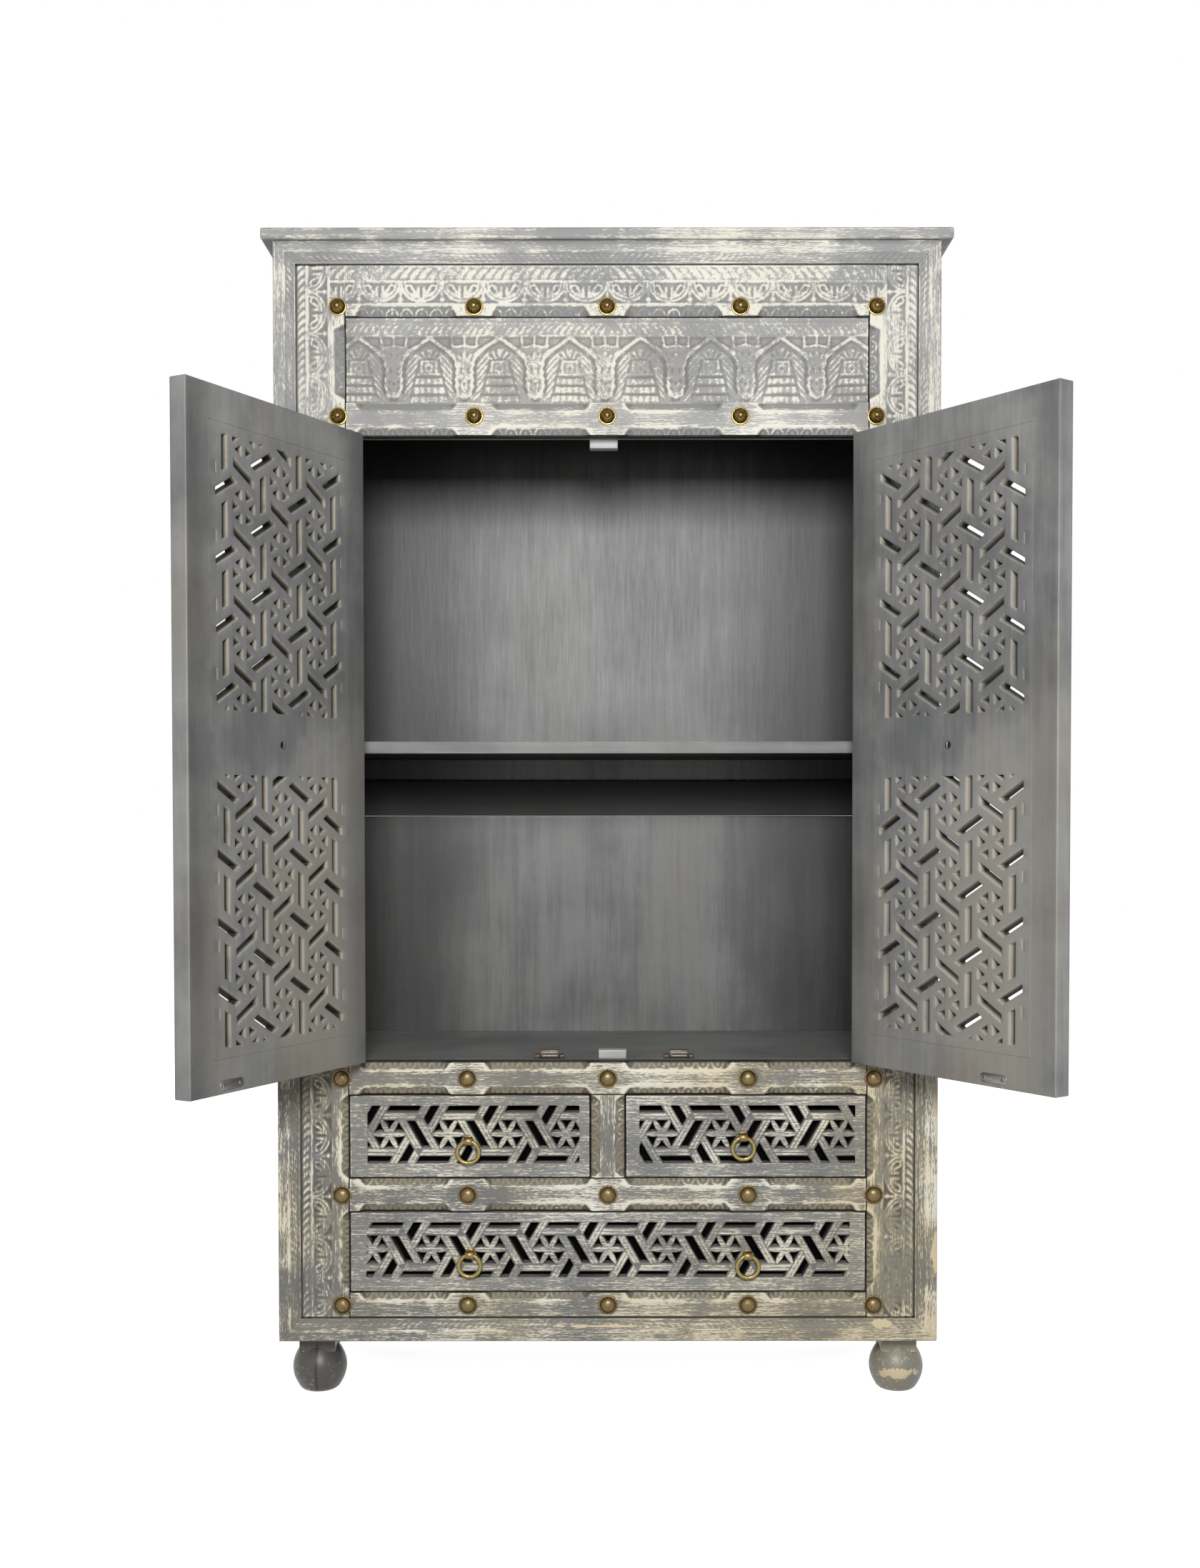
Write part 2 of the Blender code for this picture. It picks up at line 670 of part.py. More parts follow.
def drawer(name, x, low, high, pattern, pulls, wood, pull_parts, case):
    """A pierced front with its tray, on a guide that slides along Y.

    pattern gives the lattice's hand, a rosette's place from the front's middle and the margins at the left
    and right; each pull has its place from the front's middle and how far it sits below the lattice's middle.
    """
    hand, rosette, margins = pattern
    slide = empty(f"{name}_slide", case, (0.0, 0.0, 0.0))
    x = (x[0] + DRAWER_GAP, x[1] - DRAWER_GAP)
    z = (low + DRAWER_GAP, high - DRAWER_GAP)
    width = x[1] - x[0] - margins[0] - margins[1]
    height = z[1] - z[0] - DRAWER_MARGIN_TOP - DRAWER_MARGIN_BOTTOM
    centre_x = (x[0] + x[1]) / 2
    centre_z = z[0] + DRAWER_MARGIN_BOTTOM + height / 2
    aside = (margins[0] - margins[1]) / 2
    holes = lattice(width, height, 0.0, hand, (rosette - aside, 0.0), DRAWER_LATTICE_PITCH)
    holes = moved(holes, aside, centre_z)
    edge = rectangle((x[0] - centre_x, x[1] - centre_x), z)
    place = (centre_x, DRAWER_FRONT_THICKNESS / 2, 0.0)
    plate(f"{name}_front", [edge, *holes], DRAWER_FRONT_THICKNESS, wood, slide, place)
    tray(f"{name}_tray", x, low + JOINT_GAP, z[1] - TRAY_HEADROOM, wood, slide)
    for pull_name, (pull_x, drop) in pulls:
        ring_pull(pull_name, *pull_parts, slide, (centre_x + pull_x, 0.0, centre_z - drop))


def door(name, side, turn, hand, wood, metal, leaves, pull_parts, case):
    """A framed door with two pierced windows, on a guide at its hinge axis."""
    pivot = empty(f"{name}_pivot", case, (side * HINGE_AXIS_X, -HINGE_AXIS_PROUD, 0.0), turn)
    low = DOOR_CENTRE_Z - DOOR_HEIGHT / 2
    high = DOOR_CENTRE_Z + DOOR_HEIGHT / 2
    centre = -side * (DOOR_EDGE + DOOR_WIDTH / 2)
    half = DOOR_WIDTH / 2
    inner = half - DOOR_STILE_WIDTH
    edge = rectangle((-half, half), (low, high))
    hole = rectangle((-inner, inner), (low + DOOR_RAIL_HEIGHT, high - DOOR_RAIL_HEIGHT))
    middle = (centre, HINGE_AXIS_PROUD + DOOR_THICKNESS / 2, 0.0)
    plate(f"{name}_frame", [edge, hole], DOOR_THICKNESS, wood, pivot, middle)

    panel_half = inner - JOINT_GAP
    panel_low = low + DOOR_RAIL_HEIGHT + JOINT_GAP
    panel_high = high - DOOR_RAIL_HEIGHT - JOINT_GAP
    width = 2 * (panel_half - DOOR_LATTICE_MARGIN)
    height = (panel_high - panel_low - DOOR_MID_BAND) / 2 - DOOR_LATTICE_MARGIN
    rise = (DOOR_MID_BAND + height) / 2
    first_rosette = (0.0, DOOR_LATTICE_PITCH / 2)
    upper = lattice(width, height, math.radians(90), hand, first_rosette, DOOR_LATTICE_PITCH)
    lower = lattice(width, height, math.radians(90), -hand, first_rosette, DOOR_LATTICE_PITCH)
    edge = rectangle((-panel_half, panel_half), (panel_low, panel_high))
    holes = moved(upper, 0.0, DOOR_CENTRE_Z + rise) + moved(lower, 0.0, DOOR_CENTRE_Z - rise)
    thickness = DOOR_THICKNESS - DOOR_PANEL_RECESS
    panel_face = HINGE_AXIS_PROUD + DOOR_PANEL_RECESS
    plate(f"{name}_panel", [edge, *holes], thickness, wood, pivot, (centre, panel_face + thickness / 2, 0.0))

    case_leaf, door_leaf = leaves
    for level, z in (("lower", low + HINGE_INSET), ("upper", high - HINGE_INSET - HINGE_LENGTH)):
        piece(f"{name}_hinge_{level}_door_leaf", door_leaf, metal, pivot, (0.0, 0.0, z))
        axis = (side * HINGE_AXIS_X, -HINGE_AXIS_PROUD, z)
        piece(f"{name}_hinge_{level}_case_leaf", case_leaf, metal, case, axis)
    ring_pull(f"{name}_pull", *pull_parts, pivot, (centre, panel_face, DOOR_CENTRE_Z))


def main():
    for old in list(bpy.data.objects):
        bpy.data.objects.remove(old, do_unlink=True)

    grey_wood = paint("grey distressed wood", (0.20, 0.20, 0.19), 0.75, 0.0)
    inner_wood = paint("grey brushed wood", (0.14, 0.14, 0.135), 0.70, 0.0)
    raw_wood = paint("plain wood", (0.30, 0.20, 0.11), 0.80, 0.0)
    brass = paint("aged brass", (0.42, 0.30, 0.10), 0.35, 1.0)
    dark_metal = paint("dark metal", (0.06, 0.045, 0.035), 0.50, 1.0)

    case = empty("case_front", None, (0.0, -CASE_DEPTH / 2, 0.0))

    # Carcass
    cornice(grey_wood, case)
    shelf_z = (Z_SHELF_TOP - SHELF_THICKNESS, Z_SHELF_TOP)
    boards = [
        (Z_LARGE_DRAWER - BOARD_THICKNESS, Z_LARGE_DRAWER),
        (Z_SMALL_DRAWER - BOARD_THICKNESS, Z_SMALL_DRAWER),
        (Z_FLOOR - BOARD_THICKNESS, Z_FLOOR),
        shelf_z,
    ]
    side_panel("side_panel_left", -1, boards, grey_wood, case)
    side_panel("side_panel_right", 1, boards, grey_wood, case)
    behind_face = FACE_THICKNESS + JOINT_GAP
    before_back = BACK_FACE - JOINT_GAP
    full_width = (-HOUSED_HALF, HOUSED_HALF)
    board("cupboard_floor", full_width, (behind_face, before_back), boards[2], inner_wood, case)
    rail_front = BACK_FACE - BACK_RAIL_PROUD
    shelf_y = (SHELF_SETBACK, before_back)
    board("shelf", full_width, shelf_y, shelf_z, inner_wood, case)
    back_x = (-INNER_HALF + JOINT_GAP, INNER_HALF - JOINT_GAP)
    back_y = (BACK_FACE, BACK_FACE + BACK_THICKNESS)
    rail_z = (Z_BACK_RAIL, Z_BACK_RAIL + BACK_RAIL_HEIGHT)
    board("back_rail", back_x, (rail_front, back_y[1]), rail_z, inner_wood, case)
    lower_back = (FOOT_HEIGHT, rail_z[0] - JOINT_GAP)
    upper_back = (rail_z[1] + JOINT_GAP, Z_CASE_TOP)
    board("back_panel_lower", back_x, back_y, lower_back, inner_wood, case)
    board("back_panel_upper", back_x, back_y, upper_back, inner_wood, case)

    outer_guides = [(OPENING_HALF + GUIDE_WIDTH, OPENING_HALF), (-OPENING_HALF, -OPENING_HALF - GUIDE_WIDTH)]
    middle_guide = (DIVIDER_WIDTH / 2, -DIVIDER_WIDTH / 2)
    runner_board("base_panel", Z_LARGE_DRAWER, outer_guides, raw_wood, case)
    small_guides = [outer_guides[0], middle_guide, outer_guides[1]]
    runner_board("dust_board", Z_SMALL_DRAWER, small_guides, raw_wood, case)

    # Face
    face_stile("face_stile_left", -1, grey_wood, case)
    face_stile("face_stile_right", 1, grey_wood, case)
    frieze(grey_wood, case)
    rails = (
        ("drawer_rail_bottom", FOOT_HEIGHT, Z_LARGE_DRAWER, False),
        ("drawer_rail_middle", Z_MIDDLE_RAIL, Z_SMALL_DRAWER, True),
        ("drawer_rail_top", Z_TOP_RAIL, Z_FLOOR, True),
    )
    for name, low, high, lower_edge in rails:
        face_rail(name, low, high, RAIL_STUD_PITCH, lower_edge, grey_wood, case)
    divider(grey_wood, case)
    frame_moulding(grey_wood, case)

    # Feet
    foot_x = HALF_WIDTH - FOOT_INSET_SIDE
    for depth_name, y in (("front", FOOT_INSET_FRONT), ("back", CASE_DEPTH - FOOT_INSET_FRONT)):
        for side_name, side in (("left", -1), ("right", 1)):
            foot(f"foot_{depth_name}_{side_name}", side * foot_x, y, grey_wood, case)

    # Door stops and catches
    stop_y = (behind_face, behind_face + STOP_DEPTH)
    stop_x = (STOP_TOP_X - STOP_WIDTH / 2, STOP_TOP_X + STOP_WIDTH / 2)
    stop_z = (Z_FRIEZE - STOP_DROP, Z_FRIEZE - STOP_DROP + STOP_TOP_HEIGHT)
    board("door_stop_top", stop_x, stop_y, stop_z, inner_wood, case)
    stop_x = (STOP_FLOOR_X - STOP_WIDTH / 2, STOP_FLOOR_X + STOP_WIDTH / 2)
    stop_z = (Z_FLOOR + JOINT_GAP, Z_FLOOR + JOINT_GAP + STOP_FLOOR_HEIGHT)
    board("door_stop_floor", stop_x, stop_y, stop_z, inner_wood, case)
    catch_y = (behind_face + CATCH_SETBACK, behind_face + CATCH_SETBACK + CATCH_DEPTH)
    catch_z = (Z_FLOOR + JOINT_GAP, Z_FLOOR + JOINT_GAP + CATCH_HEIGHT)
    for name, x in (("catch_left", CATCH_LEFT_X), ("catch_right", CATCH_RIGHT_X)):
        catch_x = (x - CATCH_WIDTH / 2, x + CATCH_WIDTH / 2)
        board(name, catch_x, catch_y, catch_z, dark_metal, case)

    # Doors
    pull_parts = (ring_mount(), ring(), brass)
    for name, side, turn in (("door_left", -1, -LEFT_DOOR_OPEN), ("door_right", 1, RIGHT_DOOR_OPEN)):
        leaves = (hinge_leaf(-side, on_door=False), hinge_leaf(-side, on_door=True))
        door(name, side, turn, side, inner_wood, dark_metal, leaves, pull_parts, case)

    # Drawers
    small_z = (Z_SMALL_DRAWER, Z_TOP_RAIL)
    left_x = (-OPENING_HALF, -DIVIDER_WIDTH / 2)
    right_x = (DIVIDER_WIDTH / 2, OPENING_HALF)
    left_pattern = (-1, LEFT_DRAWER_ROSETTE, LEFT_DRAWER_MARGINS)
    right_pattern = (1, RIGHT_DRAWER_ROSETTE, RIGHT_DRAWER_MARGINS)
    left_pulls = [("drawer_left_pull", LEFT_RING)]
    right_pulls = [("drawer_right_pull", RIGHT_RING)]
    drawer("drawer_left", left_x, *small_z, left_pattern, left_pulls, grey_wood, pull_parts, case)
    drawer("drawer_right", right_x, *small_z, right_pattern, right_pulls, grey_wood, pull_parts, case)
    large_pattern = (-1, LARGE_DRAWER_ROSETTE, LARGE_DRAWER_MARGINS)
    large_pulls = [("drawer_large_pull_left", LARGE_LEFT_RING), ("drawer_large_pull_right", LARGE_RIGHT_RING)]
    large_x = (-OPENING_HALF, OPENING_HALF)
    large_z = (Z_LARGE_DRAWER, Z_MIDDLE_RAIL)
    drawer("drawer_large", large_x, *large_z, large_pattern, large_pulls, grey_wood, pull_parts, case)


main()
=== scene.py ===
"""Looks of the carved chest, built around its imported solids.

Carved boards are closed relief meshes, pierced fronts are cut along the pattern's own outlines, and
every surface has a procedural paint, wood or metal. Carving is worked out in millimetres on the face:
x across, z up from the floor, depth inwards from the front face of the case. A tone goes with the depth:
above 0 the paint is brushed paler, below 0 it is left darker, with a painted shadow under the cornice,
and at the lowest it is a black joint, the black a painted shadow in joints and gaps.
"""

import json
import math

import bmesh
import bpy
import numpy as np
from mathutils import Matrix, Vector


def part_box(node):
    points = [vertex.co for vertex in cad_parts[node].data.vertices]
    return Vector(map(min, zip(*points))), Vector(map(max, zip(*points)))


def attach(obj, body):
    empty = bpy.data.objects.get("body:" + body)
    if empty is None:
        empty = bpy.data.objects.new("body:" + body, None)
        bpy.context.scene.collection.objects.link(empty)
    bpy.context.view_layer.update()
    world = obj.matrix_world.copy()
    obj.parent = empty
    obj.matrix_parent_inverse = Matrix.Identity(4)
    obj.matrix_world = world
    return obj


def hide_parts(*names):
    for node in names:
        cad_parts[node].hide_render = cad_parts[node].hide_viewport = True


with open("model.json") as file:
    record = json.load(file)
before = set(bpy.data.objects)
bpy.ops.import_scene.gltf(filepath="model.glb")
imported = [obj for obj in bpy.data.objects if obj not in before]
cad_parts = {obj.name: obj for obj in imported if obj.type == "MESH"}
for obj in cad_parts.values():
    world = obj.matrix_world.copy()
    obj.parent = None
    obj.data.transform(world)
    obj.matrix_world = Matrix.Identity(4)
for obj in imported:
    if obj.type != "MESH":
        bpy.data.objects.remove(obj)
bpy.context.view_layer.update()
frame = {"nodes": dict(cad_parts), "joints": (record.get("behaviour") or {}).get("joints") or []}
NODES = frame["nodes"]
JOINTS = {joint["name"]: joint for joint in frame["joints"]}

MM = 0.001
SIDES = (("left", -1), ("right", 1))
OUTWARD = Matrix.Rotation(math.radians(90), 4, "X")


def box_mm(node):
    """Low and high corner of a solid, in millimetres."""
    return [[v / MM for v in corner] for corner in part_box(node)]


def moved(x, y, z):
    """A shift in millimetres."""
    return Matrix.Translation((x * MM, y * MM, z * MM))


# Layout of the face

STILE_LOW, STILE_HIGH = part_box("face_stile_right")
FRONT = STILE_LOW.y
BACK_OF_FACE = (STILE_HIGH.y - FRONT) / MM
OPENING_HALF, HALF_WIDTH = STILE_LOW.x / MM, STILE_HIGH.x / MM
BOTTOM, TOP = STILE_LOW.z / MM, STILE_HIGH.z / MM
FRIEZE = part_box("frieze_board")[0].z / MM
CLEAR = 0.3
PANEL = FRIEZE + 51.0
PANEL_TOP = PANEL + 132.0
PANEL_DEPTH = 8.3
ARCADE_DEPTH = 5.2
FRIEZE_STUDS = (0.0, 206.0, -206.0, 417.0, -417.0)
RAIL_STUDS = (0.0, 220.0, -220.0, 417.0, -417.0)
LOW_STUD_ROWS = (149.0, 323.0, 506.5)
HIGH_STUD_ROWS = (1536.6, 1705.0)
STUD_ROWS = LOW_STUD_ROWS + HIGH_STUD_ROWS
MOULDING = 33.0
MOULDING_FLAT = 17.0
PAD_HALF = 25.0
PAD_FLARE = 12.0
CHAMFER = 14.0
WIDE_CHAMFER = 20.0
WIDENING = (1522.0, 1546.0)
CHAMFER_DEPTH = 6.0
LOOP_DEPTH = 1.7
JOINT_DEPTH = 3.0
JOINT_WIDTH = 2.2
JOINT_TONE = 3.0
JOINT_LAP = 0.4
TOP_JOINT = TOP - MOULDING - 1.8
EDGE_GAP = 1.5
LOOP_PITCH = 23.0
CUP_PITCH = 64.0
CUP_ROWS = (1710.0, 1742.5)
LEAF_ROWS = (1745.0, 1767.0)
CROWN_END = 1771.0
BEAD_STRIP = (23.6, 27.8)
CUP_STRIP = (27.8, 57.5)
ROPE_STRIP = (61.6, 75.4)
STRIPS_END = 79.0
STRIP_DEPTH = 2.6


# Numbers on a grid

def smooth(t):
    return t * t * (3 - 2 * t)


def noise(u, v, cell, seed, size=64):
    """Smooth noise from -1 to 1 with the given cell."""
    table = np.random.RandomState(seed).rand(size, size)
    a, b = u / cell, v / cell
    i, j = np.floor(a).astype(int), np.floor(b).astype(int)
    s, t = smooth(a - i), smooth(b - j)
    i, j, i_next, j_next = i % size, j % size, (i + 1) % size, (j + 1) % size
    low = table[i, j] * (1 - s) + table[i_next, j] * s
    high = table[i, j_next] * (1 - s) + table[i_next, j_next] * s
    return (low * (1 - t) + high * t) * 2 - 1


def blurred(grid, reach):
    """Box blur over reach cells each way."""
    size = 2 * reach + 1
    for _ in range(2):
        total = np.cumsum(np.pad(grid, [(reach + 1, reach), (0, 0)], mode="edge"), axis=0)
        grid = ((total[size:] - total[:-size]) / size).T
    return grid


def bead(distance, half_width):
    """Height of a round bead at a distance from its middle line."""
    return np.sqrt(np.clip(1 - (distance / half_width) ** 2, 0, 1))


def band(value, low, high, soft=0.7):
    """One between two limits, with soft ends."""
    return np.clip((value - low) / soft, 0, 1) * np.clip((high - value) / soft, 0, 1)


def ease(low, high, value):
    return smooth(np.clip((value - low) / (high - low), 0, 1))


def folded(value, pitch):
    """Distance from the middle of each repeat."""
    share = value / pitch
    return np.abs(share - np.floor(share) - 0.5) * pitch


def highest(*rises):
    return np.maximum.reduce(rises)


def off_path(x, z, points):
    """Distance to a line through points."""
    best = np.full(x.shape, np.inf)
    for (ax, az), (bx, bz) in zip(points, points[1:]):
        dx, dz = bx - ax, bz - az
        share = np.clip(((x - ax) * dx + (z - az) * dz) / (dx * dx + dz * dz), 0, 1)
        best = np.minimum(best, np.hypot(x - ax - share * dx, z - az - share * dz))
    return best


def arc(cx, cz, radius, start, end, count=14):
    turns = [math.radians(start + (end - start) * i / count) for i in range(count + 1)]
    return [(cx + radius * math.cos(t), cz + radius * math.sin(t)) for t in turns]


def leaf(x, z, base, angle, length, width, bend=0.0):
    """A lens-shaped leaf with a cut midrib."""
    c, s = math.cos(math.radians(angle)), math.sin(math.radians(angle))
    along = ((x - base[0]) * c + (z - base[1]) * s) / length
    inside = np.clip(along, 0, 1)
    across = (z - base[1]) * c - (x - base[0]) * s - 4 * bend * inside * (1 - inside)
    half = width / 2 * np.sin(np.pi * inside**0.8) ** 0.8 + 1e-6
    rise = np.where((along > 0) & (along < 1), bead(across, half), 0)
    return rise * (1 - 0.35 * np.exp(-((across / 0.7) ** 2)))


def leaves(x, z, shapes):
    """Several leaves, each with its base, angle, length, width and bend."""
    return highest(*(leaf(x, z, *shape) for shape in shapes))


# Carved motifs, each from 0 at the ground to 1 at its top

def rope(along, across, width, pitch, lean):
    """A row of slanted leaves."""
    t = across / width
    phase = along / pitch + lean * (t - 0.5) + 0.22 * (2 * t - 1) ** 2
    lobe = np.sin(np.pi * (phase - np.floor(phase))) ** 0.7
    return lobe * np.clip(1 - (2 * t - 1) ** 4, 0, 1)


def scallops(along, across, width):
    """A row of scallops with a bud in each, as in the chamfers."""
    s = folded(along, LOOP_PITCH)
    bow = bead(np.hypot(s, 0.9 * (across - 0.12 * width)) - 9.2, 1.7)
    bud = bead(np.hypot(1.5 * s, across - 0.36 * width), 3.2)
    return highest(bow, 0.8 * bud)


CUP_FAN = [
    ((2, 7), 84, 20, 6, -1.5), ((4, 7), 64, 20, 6.5, -1.5),
    ((6.5, 7.5), 44, 16, 6, -1.5), ((8, 7.5), 20, 12, 4.5, 1.0),
]


def cups(x, z):
    """A row of cup-shaped scrolls with leaf fans, 30 high."""
    m = folded(x, CUP_PITCH)
    r = np.hypot(m / 30, (28.5 - z) / 26)
    rim = highest(bead((r - 1) * 26, 2.2), bead((r - 0.83) * 26, 1.6))
    curl = bead(off_path(m, z, arc(18.5, 22.5, 4.8, -60, 200)), 1.8)
    drop = highest(leaf(m, z, (32, 9), 90, 21, 7), bead(np.hypot(m - 32, z - 5), 4.6))
    return highest(rim, curl, leaves(m, z, CUP_FAN) * (r < 0.8), drop * (r > 1.02))


ARCH_PITCH = 109.4
ARCH_SHIFT = -3.0
ARCH = [
    (0, 101), (6, 97), (12, 92.8), (18, 88.6), (25, 84.3), (31, 80), (36, 74.5), (39.5, 69), (42, 62),
    (43.5, 54), (43.3, 45), (42.4, 37), (42.3, 29), (43.3, 22), (46, 15.5), (50, 11.8), (54.7, 10.5),
]
PALMETTE = [
    ((0, 58), 90, 24, 9), ((0, 57), 62, 24, 8.5), ((0, 55), 36, 20, 7),
    ((0, 33), 84, 23, 8), ((0, 33), 56, 21, 7.5), ((0, 16), 74, 19, 7),
]
COMB_FOOT = 86
BORDER_FOOT = 103.6


def arcade(x, z):
    """A row of ogee arches over veined leaves and tiered vases, with palmettes between, 132 high."""
    m = folded(x - ARCH_SHIFT, ARCH_PITCH)
    q = ARCH_PITCH / 2 - m
    half = np.interp(z, [p[1] for p in ARCH[::-1]], [p[0] for p in ARCH[::-1]])
    above = m > half
    out = off_path(m, z, ARCH) * np.where(above, 1, -1)
    lobes = 0.9 * np.sin(2 * np.pi * (z + 0.5 * m) / 11.0)
    arch = 0.95 * np.sqrt(np.clip(1 - ((out - 0.6 + lobes) / 3.9) ** 4, 0, 1))
    arch = arch * (1 - 0.25 * np.exp(-(((out - 1.4) / 0.8) ** 2)))

    waist = 13.5 + 0.26 * np.clip(66 - z, 0, 66)
    t = (m - waist - 1.6) / np.maximum(half - waist - 7.8, 1e-3)
    veins = np.sin((z + 1.1 * m) * 2 * np.pi / 9.5)
    feather = np.sqrt(np.clip(1 - (2 * t - 1) ** 4, 0, 1)) * band(z, 2, 83, 8) * (0.46 + 0.26 * veins)
    rows = band(z, 2, 13, 1.4) + band(z, 15.5, 27, 1.4) + band(z, 29.5, 40, 1.4)
    tiers = rows * (0.26 + 0.36 * np.abs(np.cos(np.pi * m / 9.5)))
    eye = 0.8 * bead(np.hypot(m, (z - 55) / 1.2) - 4.6, 2.2)
    lines = highest(bead(m - 11.3, 1.8), bead(z - 65.4, 1.8), bead(z - 45, 1.6), eye)
    box = band(z, 43, 67.5, 1.2) * (0.26 + 0.42 * lines)
    vase = band(m, -9, waist, 1.4) * highest(tiers, box)
    strokes = 0.25 + 0.30 * np.sin(14 * np.arctan2(z - 62, m + 0.1))
    fan = band(np.hypot(m, z - 62), 8, 24, 2.0) * strokes * (z > 68.5) * (out < -7)
    within = highest(feather, vase, fan) * (out < -4)

    edge = bead(z - 88.5 - np.cos(q / 4), 2.2) * (q < 22)
    comb = highest(bead(q, 2.0), bead(q - 18.5 - 0.12 * (z - 90), 2.0), edge)
    palmette = highest(leaves(q, z, PALMETTE), bead(np.hypot(q, z - 18), 4.2))
    between = np.where(z > COMB_FOOT, 0.10 + 0.72 * comb, 0.42 + 0.46 * palmette)
    rise = highest(np.where(above, between, within), arch)
    slats = 0.42 + 0.42 * rope(np.abs(x), z - 105.5, 17, 10.5, 1.15)
    border = highest(slats, 0.8 * bead(z - 104.5, 1.4), 0.8 * bead(z - 123.5, 1.5))
    uneven = 0.86 + 0.14 * noise(x, z, 37, 8)
    return np.where(z > BORDER_FOOT, border, rise) * uneven + 0.05 * noise(x, z, 4.5, 9)


# Depth and tone of the carved boards

def hand(x, z, seed):
    """Small wander of hand carving."""
    return x + 0.9 * noise(x, z, 31, seed), z + 0.9 * noise(x, z, 27, seed + 1)


def faded(x, z, seed):
    """Share of the carving's depth that wear has left."""
    return np.clip(0.68 + 0.55 * noise(x, z, 62, seed) + 0.2 * noise(x, z, 21, seed + 1), 0.25, 1)


def stopped(u, along, pads, width):
    """Depth of a chamfer, u from its edge, that stops at flared pads."""
    away = np.min([np.abs(along - pad) for pad in pads], axis=0)
    slope = CHAMFER_DEPTH * (1 - u / width)
    stop = (away - PAD_HALF - PAD_FLARE * np.clip(u / width, 0, 1) ** 1.6) * 0.6
    return np.clip(np.minimum(slope, stop), 0, CHAMFER_DEPTH)


def carved_chamfer(u, along, pads, width):
    """A stopped chamfer with loops cut into it, pale at its pads and dark in its cuts."""
    depth = stopped(u, along, pads, width)
    cut = np.clip(depth / 1.5, 0, 1) * (u < width)
    # Black within EDGE_GAP of the edge: a painted shadow in the gap beside it.
    tone = np.where(u < width, 0.7 * (1 - cut) - cut, 0.0) - JOINT_TONE * (u < EDGE_GAP)
    loops = scallops(along, u, width) * (0.4 + 0.6 * faded(along, u, 91))
    return depth + LOOP_DEPTH * cut * (1 - loops), tone + 0.4 * cut * loops * (u > EDGE_GAP)


def crown_carving(x, z, seed):
    """Depth of the cups and leaves that run above the upper studs."""
    wx, wz = hand(x, z, seed)
    depth = 2.4 * band(z, *CUP_ROWS, 1.0) * (1 - cups(wx, wz - CUP_ROWS[0] - 1))
    row = rope(np.abs(wx), wz - LEAF_ROWS[0], LEAF_ROWS[1] - LEAF_ROWS[0], 14.5, 1.2)
    return depth + 2.0 * band(z, *LEAF_ROWS, 0.9) * (1 - row) * faded(x, z, seed + 4)


def with_joint(depth, tone, place, low):
    """Adds the dark joint beside a moulding: a groove painted black as its shadow."""
    joint = band(place, low, low + JOINT_WIDTH, 0.5)
    return depth + JOINT_DEPTH * joint, tone - JOINT_TONE * joint


def stile_depth(x, z):
    u = np.abs(x) - OPENING_HALF
    seed = 11 if x.min() < 0 else 21
    width = CHAMFER + (WIDE_CHAMFER - CHAMFER) * ease(*WIDENING, z)
    chamfer, tone = carved_chamfer(u, z, STUD_ROWS, width)
    edge = u < BEAD_STRIP[0]
    beside = edge & (z < STUD_ROWS[-1])
    crown = crown_carving(x, z, seed) * (edge & ~beside)
    wu, wz = hand(u, z, seed)
    depth = np.where(beside, chamfer, crown)
    depth = depth + 0.9 * band(u, *BEAD_STRIP) * (1 - bead(wu - 25.6, 1.6))
    strip = STRIP_DEPTH * band(u, *CUP_STRIP, 1.2) * (1 - cups(wz, 1.04 * (wu - 28)))
    twist = rope(wz, wu - ROPE_STRIP[0], 13.8, 12.5, 0.95)
    strip = strip + STRIP_DEPTH * band(u, *ROPE_STRIP, 0.9) * (1 - twist)
    depth = depth + strip * faded(x, z, seed + 4)
    depth, tone = with_joint(depth, np.where(beside, tone, 0.0), u, ROPE_STRIP[1])
    depth, tone = with_joint(depth, tone, z, TOP_JOINT)
    return with_joint(depth, tone, z, BOTTOM + MOULDING - JOINT_LAP)


def frieze_depth(x, z):
    low, tone = carved_chamfer(z - FRIEZE, x, FRIEZE_STUDS, CHAMFER)
    high = stopped(PANEL - z, x, FRIEZE_STUDS, CHAMFER - 1)
    return np.maximum(low, high), tone - 0.7 * np.clip(high / 1.5, 0, 1)


def arcade_depth(x, z):
    wx, wz = hand(x, z, 31)
    return PANEL_DEPTH - ARCADE_DEPTH * arcade(wx, wz - PANEL), np.zeros(x.shape)


def crown_depth(x, z):
    chamfer, tone = carved_chamfer(z - PANEL_TOP, x, FRIEZE_STUDS, WIDE_CHAMFER)
    return with_joint(chamfer + crown_carving(x, z, 41), tone, z, TOP_JOINT)


def rail_depth(low, high, at_floor):
    """A rail with a chamfer along its top, and along its foot unless the moulding is there."""
    def depth(x, z):
        top, tone = carved_chamfer(high - z, x, RAIL_STUDS, CHAMFER)
        if at_floor:
            return with_joint(top, tone, z, low + MOULDING - JOINT_LAP)
        under, under_tone = carved_chamfer(z - low, x, RAIL_STUDS, CHAMFER)
        return np.maximum(top, under), tone + under_tone

    return depth


def divider_depth(x, z):
    return carved_chamfer(box_mm("drawer_divider")[1][0] - np.abs(x), z, STUD_ROWS, CHAMFER + 3)


# Meshes

def poured(work, mesh, sharp):
    """Fills a mesh from working geometry, smooth up to an angle."""
    work.to_mesh(mesh)
    work.free()
    mesh.shade_smooth()
    mesh.set_sharp_from_angle(angle=math.radians(sharp))


def mark(mesh, marks):
    """Stores marks on the points: ridge, how far they stand out, sunk, how deep they lie, and tone."""
    for name, values in marks.items():
        layer = mesh.attributes.new(name, "FLOAT", "POINT")
        layer.data.foreach_set("value", np.asarray(values, np.float32))


